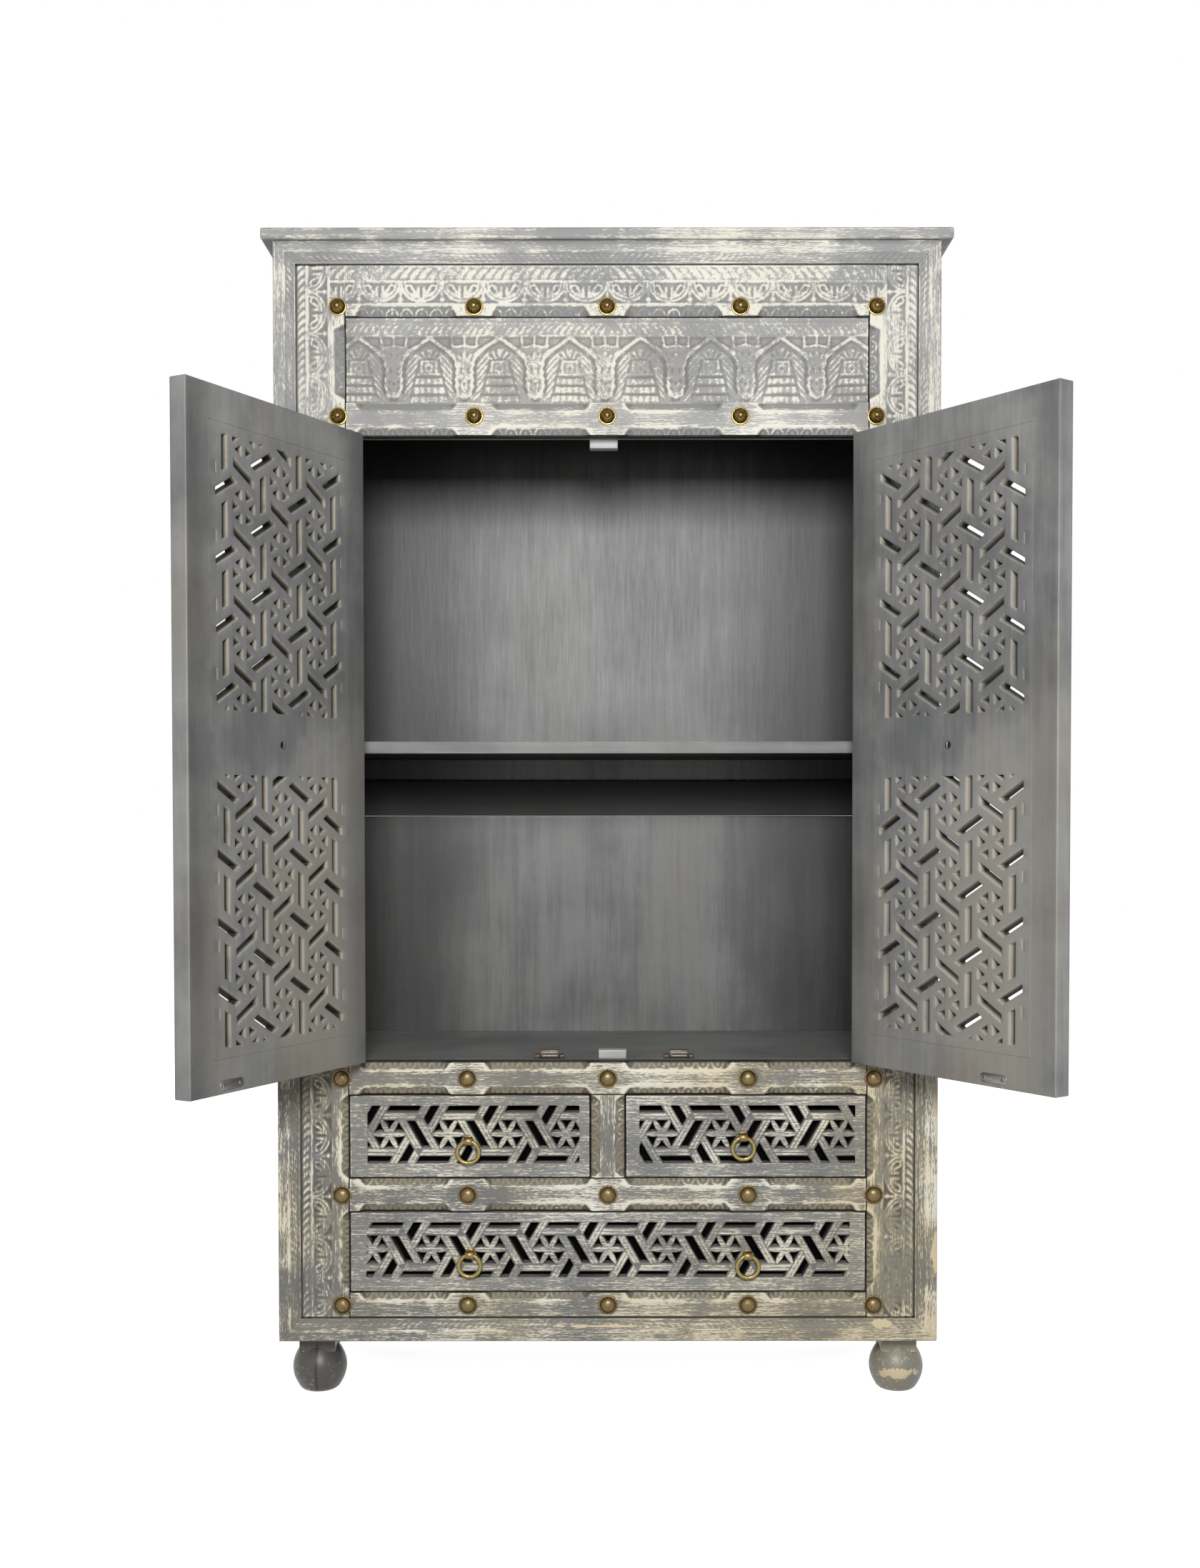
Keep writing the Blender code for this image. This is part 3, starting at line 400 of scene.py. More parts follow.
def mesh_of(points, groups, marks=None, sharp=38, inner=0):
    """A mesh from points and groups of faces; the last inner groups take the second material."""
    groups = [np.atleast_2d(np.asarray(g, np.int32)) for g in groups if len(g)]
    loops = np.concatenate([g.ravel() for g in groups])
    totals = np.concatenate([np.full(len(g), g.shape[1], np.int32) for g in groups])
    cut = sum(len(g) for g in groups[len(groups) - inner :])
    mesh = bpy.data.meshes.new("shape")
    mesh.vertices.add(len(points))
    mesh.vertices.foreach_set("co", np.asarray(points, np.float32).ravel())
    mesh.loops.add(len(loops))
    mesh.loops.foreach_set("vertex_index", loops)
    mesh.polygons.add(len(totals))
    mesh.polygons.foreach_set("loop_start", np.cumsum(totals, dtype=np.int32) - totals)
    mesh.polygons.foreach_set("loop_total", totals)
    mesh.polygons.foreach_set("material_index", np.repeat([0, 1], [len(totals) - cut, cut]).astype(np.int32))
    mesh.update(calc_edges=True)
    mesh.validate()
    work = bmesh.new()
    work.from_mesh(mesh)
    bmesh.ops.recalc_face_normals(work, faces=work.faces)
    poured(work, mesh, sharp)
    mark(mesh, marks or {})
    return mesh


def add(name, data, material, body, nodes=(), matrix=None, inner=None):
    """Puts a piece on a body, in place of the given solids; inner is the paint in its holes."""
    made = bpy.data.objects.new(name, data)
    bpy.context.scene.collection.objects.link(made)
    data.materials.append(material)
    if inner is not None:
        data.materials.append(inner)
    if matrix is not None:
        made.matrix_world = matrix
    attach(made, body)
    if nodes:
        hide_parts(*nodes)


def steps(low, high, step):
    return np.linspace(low, high, max(2, round((high - low) / step) + 1))


def cells(index):
    """The four corners of each cell in a grid of points."""
    return np.stack([index[:-1, :-1], index[1:, :-1], index[1:, 1:], index[:-1, 1:]], -1).reshape(-1, 4)


def flat_place(u, v):
    return u, v


NEAR_RIDGE = 0.75
FAR_RIDGE = 0.42
RIM_RIDGE = 0.35
DEEPEST = 8.0


def relief(u, v, place, depth, back):
    """A closed board whose face is a carved grid. place gives x and z, depth the cut below the front."""
    grid_u, grid_v = np.meshgrid(u, v, indexing="ij")
    x, z = place(grid_u, grid_v)
    d, tone = depth(grid_u, grid_v)
    d = blurred(d, 1)
    ridge = NEAR_RIDGE * (blurred(d, 2) - d) + FAR_RIDGE * (blurred(d, 7) - d)
    for rim in (ridge[:2], ridge[-2:], ridge[:, :2], ridge[:, -2:]):
        rim += RIM_RIDGE
    n, m = d.shape
    front = np.stack([x * MM, FRONT + d * MM, z * MM], axis=-1).reshape(-1, 3)
    corner = [(0, 0), (n - 1, 0), (n - 1, m - 1), (0, m - 1)]
    rear = [(x[c] * MM, FRONT + back * MM, z[c] * MM) for c in corner]
    index = np.arange(n * m).reshape(n, m)
    b = n * m
    sides = [
        [*index[:, 0], b + 1, b],
        [*index[-1, :], b + 2, b + 1],
        [*index[::-1, -1], b + 3, b + 2],
        [*index[0, ::-1], b, b + 3],
    ]
    face_marks = {"ridge": np.clip(ridge, -1, 1), "sunk": np.clip(d / DEEPEST, 0, 1), "tone": tone}
    marks = {name: np.append(values.ravel(), np.zeros(len(corner))) for name, values in face_marks.items()}
    return mesh_of(np.concatenate([front, rear]), [cells(index), *sides, [b, b + 1, b + 2, b + 3]], marks)


def pierced(xs, zs, hole, front, back, ridge):
    """A closed plate cut through where hole is positive, with its own depth on each face."""
    x, z = np.meshgrid(xs, zs, indexing="ij")
    f = hole(x, z)
    size = f.size
    quads = cells(np.arange(size).reshape(f.shape))
    triangles = np.concatenate([quads[:, [0, 1, 2]], quads[:, [0, 2, 3]]])
    f, x, z = f.ravel(), x.ravel(), z.ravel()
    solid = f < 0
    kept = triangles[solid[triangles].any(1)]
    count = solid[kept].sum(1)
    pairs = np.concatenate([kept[:, [0, 1]], kept[:, [1, 2]], kept[:, [2, 0]]])
    pairs = np.unique(np.sort(pairs[solid[pairs[:, 0]] != solid[pairs[:, 1]]], axis=1), axis=0)
    p, q = pairs.T
    share = np.clip(f[p] / (f[p] - f[q]), 0.02, 0.98)
    code = p.astype(np.int64) * size + q
    used = np.unique(kept[solid[kept]])
    renumber = np.full(size, -1)
    renumber[used] = np.arange(len(used))
    px = np.concatenate([x[used], x[p] + share * (x[q] - x[p])])
    pz = np.concatenate([z[used], z[p] + share * (z[q] - z[p])])

    def crossing(first, second):
        low, high = np.minimum(first, second), np.maximum(first, second)
        return len(used) + np.searchsorted(code, low.astype(np.int64) * size + high)

    tris, quads, rims = [renumber[kept[count == 3]]], [], []
    for i in range(3):
        j, k = (i + 1) % 3, (i + 2) % 3
        t = kept[(count == 1) & solid[kept[:, i]]]
        there, here = crossing(t[:, i], t[:, j]), crossing(t[:, i], t[:, k])
        tris.append(np.stack([renumber[t[:, i]], there, here], -1))
        rims.append(np.stack([there, here], -1))
        t = kept[(count == 2) & ~solid[kept[:, i]]]
        there, here = crossing(t[:, j], t[:, i]), crossing(t[:, k], t[:, i])
        quads.append(np.stack([renumber[t[:, j]], renumber[t[:, k]], here, there], -1))
        rims.append(np.stack([here, there], -1))
    tris, quads, rims = np.concatenate(tris), np.concatenate(quads), np.concatenate(rims)
    total = len(px)
    faces = [np.stack([px, y(px, pz), pz], -1) for y in (front, back)]
    walls = np.stack([rims[:, 0], rims[:, 1], rims[:, 1] + total, rims[:, 0] + total], -1)
    groups = [tris, quads, tris[:, ::-1] + total, quads[:, ::-1] + total, walls]
    return mesh_of(np.concatenate(faces) * MM, groups, {"ridge": np.tile(ridge(px, pz), 2)}, 42, 1)


def everywhere(at):
    return True


def softened(low, high, radius=1.2, edge=5.0, segments=2, ridge=0.5, eased=everywhere):
    """A board between two corners in millimetres, with eased and worn edges where eased says so."""
    size = [(b - a) * MM for a, b in zip(low, high)]
    middle = [(a + b) / 2 * MM for a, b in zip(low, high)]
    work = bmesh.new()
    bmesh.ops.create_cube(work, size=1.0, matrix=Matrix.Translation(middle) @ Matrix.Diagonal((*size, 1.0)))
    picked = [e for e in work.edges if eased((e.verts[0].co + e.verts[1].co) / 2 / MM)]
    bmesh.ops.bevel(work, geom=picked, offset=radius * MM, segments=segments, profile=0.5, affect="EDGES")
    wide = sorted(work.faces, key=lambda f: f.calc_area())[-6:]
    bmesh.ops.inset_individual(work, faces=wide, thickness=min(edge * MM, min(size) * 0.3))
    calm = {v for f in wide for v in f.verts}
    marks = [0.0 if v in calm or not eased(v.co / MM) else ridge for v in work.verts]
    mesh = bpy.data.meshes.new("board")
    poured(work, mesh, 50)
    mark(mesh, {"ridge": marks})
    return mesh


def joined(meshes):
    """One mesh from several, with their marks."""
    work = bmesh.new()
    for mesh in meshes:
        work.from_mesh(mesh)
    whole = bpy.data.meshes.new("joined")
    poured(work, whole, 45)
    return whole


def loft(points, count, marks=None, sharp=38):
    """A closed solid through rings of count points each."""
    index = np.arange(len(points)).reshape(-1, count)
    after = np.roll(index, -1, axis=1)
    quads = np.stack([index[:-1], after[:-1], after[1:], index[1:]], -1).reshape(-1, 4)
    return mesh_of(points, [quads, index[0][::-1], index[-1]], marks, sharp)


TOOTH = 0.035
TOOTHED_FROM = 13.5


def turned(profile, segments, teeth=0):
    """A solid turned about Z from (radius, height, mark) points, with teeth around its wide rim."""
    radius, height, worn = np.repeat(np.array(profile), segments, axis=0).T
    turns = np.tile(np.arange(segments) * 2 * np.pi / segments, len(profile))
    r = radius * MM * (1 + np.where(radius > TOOTHED_FROM, TOOTH * np.sign(np.sin(turns * teeth)), 0.0))
    points = np.stack([r * np.cos(turns), r * np.sin(turns), height * MM], -1)
    return loft(points, segments, {"ridge": worn}, 35)


def swept(path, half, thick):
    """A flat strip along a path in the YZ plane, half wide each side along X, with eased edges."""
    path = np.asarray(path, float)
    along = np.gradient(path, axis=0)
    along /= np.linalg.norm(along, axis=1)[:, None]
    t, e = thick / 2, thick * 0.3
    section = [(half - e, -t), (half, -t + e), (half, t - e), (half - e, t)]
    section += [(-x, -y) for x, y in section]
    points = [(x, y - az * n, z + ay * n) for (y, z), (ay, az) in zip(path, along) for x, n in section]
    return loft(np.array(points) * MM, len(section))


def torus(radius, wire, gap, segments=56, sides=14):
    """A ring that hangs from the X axis, split by a small gap at its foot."""
    start = gap / 2 / radius
    t = np.pi + np.linspace(start, 2 * np.pi - start, segments)[:, None]
    around = np.arange(sides) * 2 * np.pi / sides
    reach = radius + wire * np.cos(around)
    rings = np.broadcast_arrays(reach * np.sin(t), wire * np.sin(around), reach * np.cos(t) - radius)
    return loft(np.stack(rings, -1).reshape(-1, 3) * MM, sides)


# Materials, with places in metres. A Mix node's sockets share names, so they go by number

MIX_SHARE, MIX_A, MIX_B = 0, 6, 7
MIX_COLOUR = 2


def new_node(tree, kind, **settings):
    made = tree.nodes.new(kind)
    for key, value in settings.items():
        setattr(made, key, value)
    return made


class Value:
    """A shader value whose arithmetic adds nodes. A product waits, to share a node with a sum."""

    def __init__(self, paint, socket=None, factors=()):
        self.paint = paint
        self.made = socket
        self.factors = factors

    def socket(self):
        if self.made is None:
            self.made = self.paint.math("MULTIPLY", *self.factors).made
        return self.made

    def __mul__(self, other):
        return Value(self.paint, factors=(self, other))

    def __neg__(self):
        return self * -1.0

    def __add__(self, other):
        if self.factors:
            return self.paint.math("MULTIPLY_ADD", *self.factors, other)
        if isinstance(other, Value) and other.factors:
            return other + self
        return self.paint.math("ADD", self, other)

    def __sub__(self, other):
        return self + -1.0 * other

    def __rsub__(self, other):
        return -self + other

    __radd__ = __add__
    __rmul__ = __mul__


class Paint:
    """A Principled material with short calls for its nodes."""

    def __init__(self, name):
        self.material = bpy.data.materials.new(name)
        self.material.use_nodes = True
        self.tree = self.material.node_tree
        self.shader = self.tree.nodes["Principled BSDF"]
        self.place = self.made("ShaderNodeTexCoord", "Object")

    def feed(self, socket, value):
        if isinstance(value, Value):
            self.tree.links.new(value.socket(), socket)
        elif isinstance(value, tuple) and socket.type == "RGBA":
            socket.default_value = (*value, 1.0)
        else:
            socket.default_value = value

    def made(self, kind, output, inputs=(), **settings):
        """An output of a new node with the given inputs and settings."""
        node = new_node(self.tree, kind, **settings)
        for key, value in dict(inputs).items():
            self.feed(node.inputs[key], value)
        return Value(self, node.outputs[output])

    def math(self, operation, *values):
        return self.made("ShaderNodeMath", 0, enumerate(values), operation=operation)

    def vector(self, operation, *values, output="Vector"):
        return self.made("ShaderNodeVectorMath", output, enumerate(values), operation=operation)

    def noise(self, stretch, detail=4.0, roughness=0.55, distortion=0.0):
        if isinstance(stretch, float):
            stretch = (stretch, stretch, stretch)
        inputs = {"Vector": self.vector("MULTIPLY", self.place, stretch), "Scale": 1.0, "Detail": detail,
                  "Roughness": roughness, "Distortion": distortion}
        return self.made("ShaderNodeTexNoise", "Fac", inputs)

    def between(self, value, low, high):
        """Rises smoothly from 0 at low to 1 at high."""
        inputs = {"Value": value, "From Min": low, "From Max": high}
        return self.made("ShaderNodeMapRange", 0, inputs, interpolation_type="SMOOTHSTEP")

    def mix(self, share, a, b, blend="MIX"):
        inputs = {MIX_SHARE: share, MIX_A: a, MIX_B: b}
        return self.made("ShaderNodeMix", MIX_COLOUR, inputs, data_type="RGBA", blend_type=blend)

    def mark(self, name):
        return self.made("ShaderNodeAttribute", "Fac", attribute_name=name)

    def axes(self, vector=None):
        split = new_node(self.tree, "ShaderNodeSeparateXYZ")
        self.feed(split.inputs[0], vector or self.place)
        return [Value(self, output) for output in split.outputs]

    def facing_up(self):
        """From -1 on an underside to 1 on a ledge."""
        return self.axes(self.made("ShaderNodeNewGeometry", "True Normal"))[2]

    def spot(self, centre, radii):
        """One within an ellipsoid with a ragged edge, in metres."""
        away = self.vector("DIVIDE", self.vector("SUBTRACT", self.place, centre), radii)
        reach = self.vector("LENGTH", away, output="Value")
        return self.between(reach - 3.2 * self.noise(48.0, 4.0, 0.62), -0.55, -0.75)

    def bump(self, height, strength, distance):
        inputs = {"Height": height, "Strength": strength, "Distance": distance}
        self.feed(self.shader.inputs["Normal"], self.made("ShaderNodeBump", 0, inputs))

    def finish(self, colour, roughness, metallic=0.0, shine=0.5):
        inputs = {"Base Color": colour, "Roughness": roughness, "Metallic": metallic}
        for key, value in inputs.items():
            self.feed(self.shader.inputs[key], value)
        self.shader.inputs["Specular IOR Level"].default_value = shine
        return self.material


def stretched(along, across, even):
    """Scales of a noise for each run of the grain."""
    scales = {"x": (along, across, across), "z": (across, across, along), "any": (even, even, even)}
    return {run: Vector(scale) for run, scale in scales.items()}


GRAIN = stretched(19.0, 480.0, 150.0)
FINE = stretched(120.0, 1200.0, 620.0)
STROKE = stretched(3.5, 70.0, 16.0)
SMEAR = stretched(1.8, 6.0, 6.0)
PALER_AND_LIT_UP = (0.75, 1.62)
WARMER_RIGHT = (-0.10, 0.55)
SLATE = (0.196, 0.200, 0.200)
PALE_SLATE = (0.410, 0.409, 0.402)
CUT_KHAKI = (0.265, 0.235, 0.158)
CUT_SLATE = (0.215, 0.217, 0.212)
KHAKI = (0.330, 0.292, 0.185)
GRIME_AND_SHADE = (0.070, 0.063, 0.050)
GOLD = (0.400, 0.315, 0.150)
JOINT = (0.010, 0.009, 0.008)
SEAM = (0.03, 0.025, 0.02)
CREAM = (0.84, 0.82, 0.72)
BARE_WOOD = (0.72, 0.60, 0.38)
SCRATCH = (0.42, 0.41, 0.38)
WORN_EDGE = (0.44, 0.40, 0.32)


def distressed(name, grain, cover=0.0, wear=0.13, spots=(), slate=SLATE, seam=None, lift=0.0, speckle=1.0,
               gloss=0.60, shine=0.3, warmth=1.0, patchy=0.30):
    """Slate paint, dry-brushed in cream along the grain, worn on raised edges and khaki in the hollows; paler
    higher up, partly as painted light, with dirt and painted shade in the hollows and a painted shadow in
    black joints and gaps.
    """
    p = Paint(name)
    ridge, sunk, tone = p.mark("ridge"), p.mark("sunk"), p.mark("tone")
    x, _, z = p.axes()
    # up makes the paint paler and lifts the cream higher up: partly the paint's own colour, partly painted
    # light.
    up = p.between(z, *PALER_AND_LIT_UP)
    down = 1.0 - up
    right = p.between(x, *WARMER_RIGHT) * down
    streak = p.noise(GRAIN[grain], 5.0, 0.6)
    fine = p.noise(FINE[grain], 3.0, 0.6)
    patch = p.noise(6.5, 4.0, 0.6)
    tint = p.between(p.noise(4.3, 3.0, 0.55), 0.36, 0.60)
    worn = p.between(p.noise(13.0, 3.0, 0.6), 0.36, 0.64) + 0.25

    brush = speckle * (0.42 * fine + 0.38 * streak + patchy * patch)
    brush = wear * (ridge * worn) + brush + lift * up + -0.020 * sunk + 0.046 * tone
    start = (0.40 + patchy / 2) * speckle + 0.024 - cover
    mask = p.between(brush, start, start + 0.052)

    body = p.mix(0.9 * up, slate, PALE_SLATE)
    cloud = p.mix(p.between(patch, 0.32, 0.68), (0.80, 0.80, 0.82), (1.14, 1.13, 1.11))
    body = p.mix(1.0, body, cloud, "MULTIPLY")
    glaze = warmth * tint * (0.50 * sunk + 0.10 * right + 0.25) * (-0.75 * up + 1.0)
    body = p.mix(glaze, body, KHAKI)
    # Darker where tone is below 0: the colour of the cuts, and a painted shadow under the cornice.
    body = p.mix(0.75 * p.between(-tone, 0.0, 1.0), body, p.mix(up, CUT_KHAKI, CUT_SLATE))
    # Dirt and painted shade in the hollows, less of it higher up.
    body = p.mix(p.between(-ridge, 0.08, 0.9) * (-0.42 * up + 0.82), body, GRIME_AND_SHADE)
    rubbed = p.between(brush, start - 0.045, start + 0.010) * (0.25 * right + 0.32)
    body = p.mix(warmth * rubbed * down, body, GOLD)

    warm = warmth * tint * (0.40 * down + 0.30 * right + 0.10)
    colour = p.mix(0.95 * mask, body, p.mix(warm, CREAM, BARE_WOOD))
    for centre, radii in spots:
        colour = p.mix(0.9 * p.spot(centre, radii), colour, BARE_WOOD)
    if seam is not None:
        wander = 0.004 * p.noise((0.0, 0.0, 60.0)) + (x - (seam + 0.002))
        colour = p.mix(0.85 * p.between(p.math("ABSOLUTE", wander), 0.0040, 0.0010), colour, SEAM)
    # Black where tone is lowest: a painted shadow in joints and gaps.
    colour = p.mix(p.between(tone, -1.4, -2.2), colour, JOINT)
    p.bump(brush, 0.3, 0.0008)
    return p.finish(colour, 0.12 * mask + gloss, shine=shine)


def brushed(name, grain, dark, light, tan, tan_share=0.45, gloss=0.41, shine=0.5, lines=0.24, fade=None):
    """Satin paint with cloudy tone, brush marks, fine scratches and a warm tint in places; fade paints light
    and shade on it.
    """
    p = Paint(name)
    marks = p.noise(STROKE[grain], 6.0, 0.66, 0.25)
    fine = p.noise(5 * STROKE[grain], 3.0, 0.6)
    smear = p.noise(SMEAR[grain], 4.0, 0.55)
    tone = 0.46 * p.noise(5.0, 5.0, 0.62) + 0.26 * smear + lines * (marks + 0.4 * fine)
    middle = 0.36 + 0.7 * lines
    body = p.mix(p.between(tone, middle - 0.11, middle + 0.11), dark, light)
    body = p.mix(tan_share * p.between(smear, 0.47, 0.66), body, tan)
    scratch = p.between(p.noise(12 * STROKE[grain], 2.0), 0.64, 0.76)
    body = p.mix(0.5 * lines * scratch, body, SCRATCH)
    worn = p.between(0.5 * (p.mark("ridge") + marks), 0.42, 0.62)
    colour = p.mix(0.75 * worn, body, WORN_EDGE)
    if fade is not None:
        colour = p.mix(1.0, colour, fade(p), "MULTIPLY")
    p.bump(marks, 0.12, 0.0005)
    return p.finish(colour, 0.18 * fine + (gloss - 0.06), shine=shine)


def metal(name, colour, dark, roughness, dirt=0.5):
    """Aged metal, dull in its hollows."""
    p = Paint(name)
    spots = p.noise(320.0, 4.0, 0.6)
    stain = dirt * p.between(spots, 0.45, 0.70)
    share = p.math("MINIMUM", 0.9 * p.between(-p.mark("ridge"), 0.0, 0.8) + stain, 1.0)
    p.bump(spots, 0.15, 0.0003)
    return p.finish(p.mix(share, colour, dark), 0.3 * share + roughness, 1.0)


TRAY_FACE = 0.0205


def tray_behind_painted_shade():
    """Dark stained wood behind a front painted black, a painted shade seen through the lattice."""
    p = Paint("dark tray wood")
    marks = p.noise((4.0, 60.0, 60.0), 5.0, 0.62)
    wood = p.mix(marks, (0.020, 0.016, 0.012), (0.060, 0.046, 0.034))
    behind = p.between(p.axes()[1], FRONT + TRAY_FACE, FRONT + TRAY_FACE + 0.001)
    p.bump(marks, 0.1, 0.0004)
    return p.finish(p.mix(behind, (0.0025, 0.0025, 0.0028), wood), 0.2 * marks + 0.6, shine=0.02)


def inside_only(p, level, node, plain):
    """Keeps the painted light and shade off the outer face of a back board."""
    low, high = (corner.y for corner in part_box(node))
    outer = p.between(p.axes()[1], low + 0.002, high - 0.001)
    return outer * (plain - level) + level


def painted_glow_and_shade(p):
    """A painted pool of light in the middle of the back, with painted shade by the sides and at the top."""
    x, _, z = p.axes()
    aside = 0.16 * p.noise((4.0, 4.0, 1.6), 3.0) + p.math("ABSOLUTE", x)
    level = 1.05 * p.between(aside, 0.41, 0.25) + 0.30
    level = level * (0.92 * p.between(z, 1.585, 1.50) + 0.08)
    return inside_only(p, level, "back_panel_upper", 1.2)


def painted_shelf_shadow(p):
    """Darker towards the top of the back rail: a painted shadow under the shelf."""
    low, high = (corner.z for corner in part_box("back_rail"))
    level = 0.30 * p.between(p.axes()[2], high - 0.01, low - 0.02) + 0.04
    return inside_only(p, level, "back_rail", 0.75)


# A painted shade on the shelf where it faces down.
def painted_underside_shade(p):
    return -0.94 * p.between(p.facing_up(), -0.4, -0.9) + 1.0


def painted_ledge_light(p):
    """Painted light on the ledges that look up, painted shade elsewhere."""
    return 0.94 * p.between(p.facing_up(), 0.4, 0.9) + 0.06


DOOR_INNER = 0.0270
SHADED_EDGE = (0.12, 0.19)
FREE_EDGE = (0.1984, 0.1994)


def painted_slot_shade(dark_at):
    """A painted shade, darker away from the inner face of a door."""
    def fade(p):
        return 1.05 * p.between(p.axes()[1], dark_at, DOOR_INNER) + 0.10

    return fade


def painted_door_shade(low, high, free, bright):
    """Painted shade on a door towards its two upright edges, and a painted highlight on the face of its free
    edge.
    """
    def fade(p):
        x = p.axes()[0]
        level = (low - 1) * p.between(-x, *SHADED_EDGE) + (high - 1) * p.between(x, *SHADED_EDGE) + 1.0
        return bright * p.between(free * x, *FREE_EDGE) + level

    return fade


FOOT_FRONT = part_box("foot_front_right")[0].y
FOOT_X = sum(corner.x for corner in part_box("foot_front_right")) / 2
RUBBED_Y = FRONT - 0.012
SIDE_RUBS = [
    ((0.513, RUBBED_Y, 0.235), (0.007, 0.02, 0.045)), ((0.512, RUBBED_Y, 0.470), (0.005, 0.02, 0.035)),
]
BASE_RUBS = [
    ((0.430, RUBBED_Y, 0.122), (0.018, 0.02, 0.005)), ((-0.02, RUBBED_Y, 0.118), (0.06, 0.02, 0.002)),
]
FOOT_RUBS = [((FOOT_X - 0.004, FOOT_FRONT + 0.01, 0.034), (0.027, 0.03, 0.010))]

FACE_X = distressed("face paint along x", "x", -0.004, 0.15, lift=-0.006)
FACE_Z = distressed("face paint along z", "z", -0.004, 0.15)
STILE_PAINT = distressed("face paint on the stiles", "z", 0.000, 0.15, lift=0.036, speckle=0.8)
FACE_CARVED = distressed("face paint on carving", "any", 0.000, 0.15, lift=0.036, speckle=0.8)
PANEL_PAINT = distressed("face paint in the arcade", "any", 0.000, 0.09, lift=0.020, speckle=0.8)
MOULDING_PAINT = distressed("moulding paint along z", "z", 0.022, 0.12, SIDE_RUBS)
BASE_PAINT = distressed("moulding paint along x", "x", 0.004, 0.10, BASE_RUBS)
DRAWER_PAINT = distressed(
    "drawer paint", "x", 0.004, 0.11, slate=(0.235, 0.238, 0.240), warmth=0.6, patchy=0.18)
FOOT_PAINT = distressed(
    "foot paint", "any", -0.045, 0.10, FOOT_RUBS, (0.230, 0.224, 0.200), gloss=0.42, shine=0.5)
SEAMED_PAINT = distressed(
    "seamed foot paint", "any", -0.040, 0.10, (), (0.066, 0.065, 0.068), -FOOT_X,
    gloss=0.38, shine=0.4, warmth=0.4)
SIDE_PAINT = distressed("side paint", "z", -0.03)
BOARD_TAN = (0.19, 0.17, 0.13)
INNER_Z = brushed(
    "inner paint along z", "z", (0.055, 0.057, 0.057), (0.130, 0.132, 0.129), (0.120, 0.105, 0.080),
    0.25, 0.40, 0.45, 0.30, painted_glow_and_shade)
INNER_X = brushed("inner paint along x", "x", (0.110, 0.112, 0.112), (0.225, 0.227, 0.220), BOARD_TAN, 0.2)
RAIL_PAINT = brushed(
    "back rail paint", "x", (0.10, 0.102, 0.102), (0.20, 0.202, 0.20), BOARD_TAN,
    0.2, 0.6, 0.2, fade=painted_shelf_shadow)
SHELF_PAINT = brushed(
    "shelf paint", "x", (0.16, 0.163, 0.160), (0.26, 0.262, 0.255), (0.24, 0.22, 0.17),
    0.15, 0.5, 0.3, fade=painted_underside_shade)
DOOR_COLOURS = ((0.140, 0.143, 0.144), (0.305, 0.306, 0.296), (0.265, 0.230, 0.172))
# Each door has its own copy of the paint, with its own painted shade and highlight.
DOOR_PAINTS = {
    "door_left": brushed(
        "door_left paint", "z", *DOOR_COLOURS, 0.45, 0.50, 0.5, 0.12, painted_door_shade(0.66, 0.55, 1.0, 0.45)),
    "door_right": brushed(
        "door_right paint", "z", *DOOR_COLOURS, 0.45, 0.50, 0.5, 0.18, painted_door_shade(0.80, 0.66, -1.0, 0.40)),
}
# The two doors' slot paints are lit and shaded copies of one paint, and both grow darker with depth as
# painted shade.
SLOT_PAINTS = {
    "door_left": brushed(
        "left slot paint", "any", (0.16, 0.150, 0.132), (0.42, 0.39, 0.34), (0.40, 0.32, 0.22),
        0.4, 0.7, 0.2, fade=painted_slot_shade(0.0185)),
    "door_right": brushed(
        "right slot paint", "any", (0.25, 0.242, 0.23), (0.66, 0.65, 0.62), (0.48, 0.41, 0.30),
        0.3, 0.7, 0.2, fade=painted_slot_shade(0.0125)),
}
# The drawers' slot walls: painted light on their ledges, painted shade elsewhere.
DARK_SLOT_PAINT = brushed(
    "drawer slot paint", "any", (0.12, 0.118, 0.112), (0.36, 0.35, 0.33), (0.30, 0.25, 0.18),
    0.3, 0.7, 0.1, fade=painted_ledge_light)
STOP_PAINT = brushed("stop paint", "x", (0.36, 0.36, 0.36), (0.60, 0.60, 0.59), (0.45, 0.41, 0.36), 0.15)
RAW_WOOD = brushed("raw board", "x", (0.13, 0.095, 0.058), (0.24, 0.172, 0.10), (0.26, 0.18, 0.10), 0.5, 0.7)
TRAY_WOOD_AND_SHADE = tray_behind_painted_shade()
BRASS = metal("brass", (0.44, 0.31, 0.100), (0.050, 0.034, 0.012), 0.26)
BRONZE = metal("bronze", (0.180, 0.132, 0.064), (0.050, 0.037, 0.018), 0.40)
RING_BRASS = metal("ring brass", (0.28, 0.220, 0.085), (0.11, 0.083, 0.030), 0.36)
STRAP_BRASS = metal("strap brass", (0.235, 0.165, 0.068), (0.060, 0.043, 0.018), 0.34, 0.6)
DARK_METAL = metal("dark metal", (0.10, 0.075, 0.060), (0.035, 0.027, 0.022), 0.42)
DULL_STEEL = metal("dull steel", (0.26, 0.255, 0.24), (0.10, 0.095, 0.085), 0.45)
PIN_STEEL = metal("pin steel", (0.30, 0.29, 0.27), (0.012, 0.010, 0.009), 0.40, 0.0)


# Carved face

def carved(name, node, u, v, depth, material, back=BACK_OF_FACE, place=flat_place):
    add(name, relief(u, v, place, depth, back), material, "case", [node] if node else ())


STEP = 1.4
FINE_STEP = STEP * 0.95
RAIL_STEP = 1.5
DIVIDER_STEP = 1.1
SEAM_GAP = 0.05
for name, side in SIDES:
    columns = np.append(steps(OPENING_HALF, OPENING_HALF + STRIPS_END, STEP), HALF_WIDTH) * side
    carved(f"carved_stile_{name}", f"face_stile_{name}", np.sort(columns), steps(BOTTOM, TOP, STEP),
           stile_depth, STILE_PAINT)

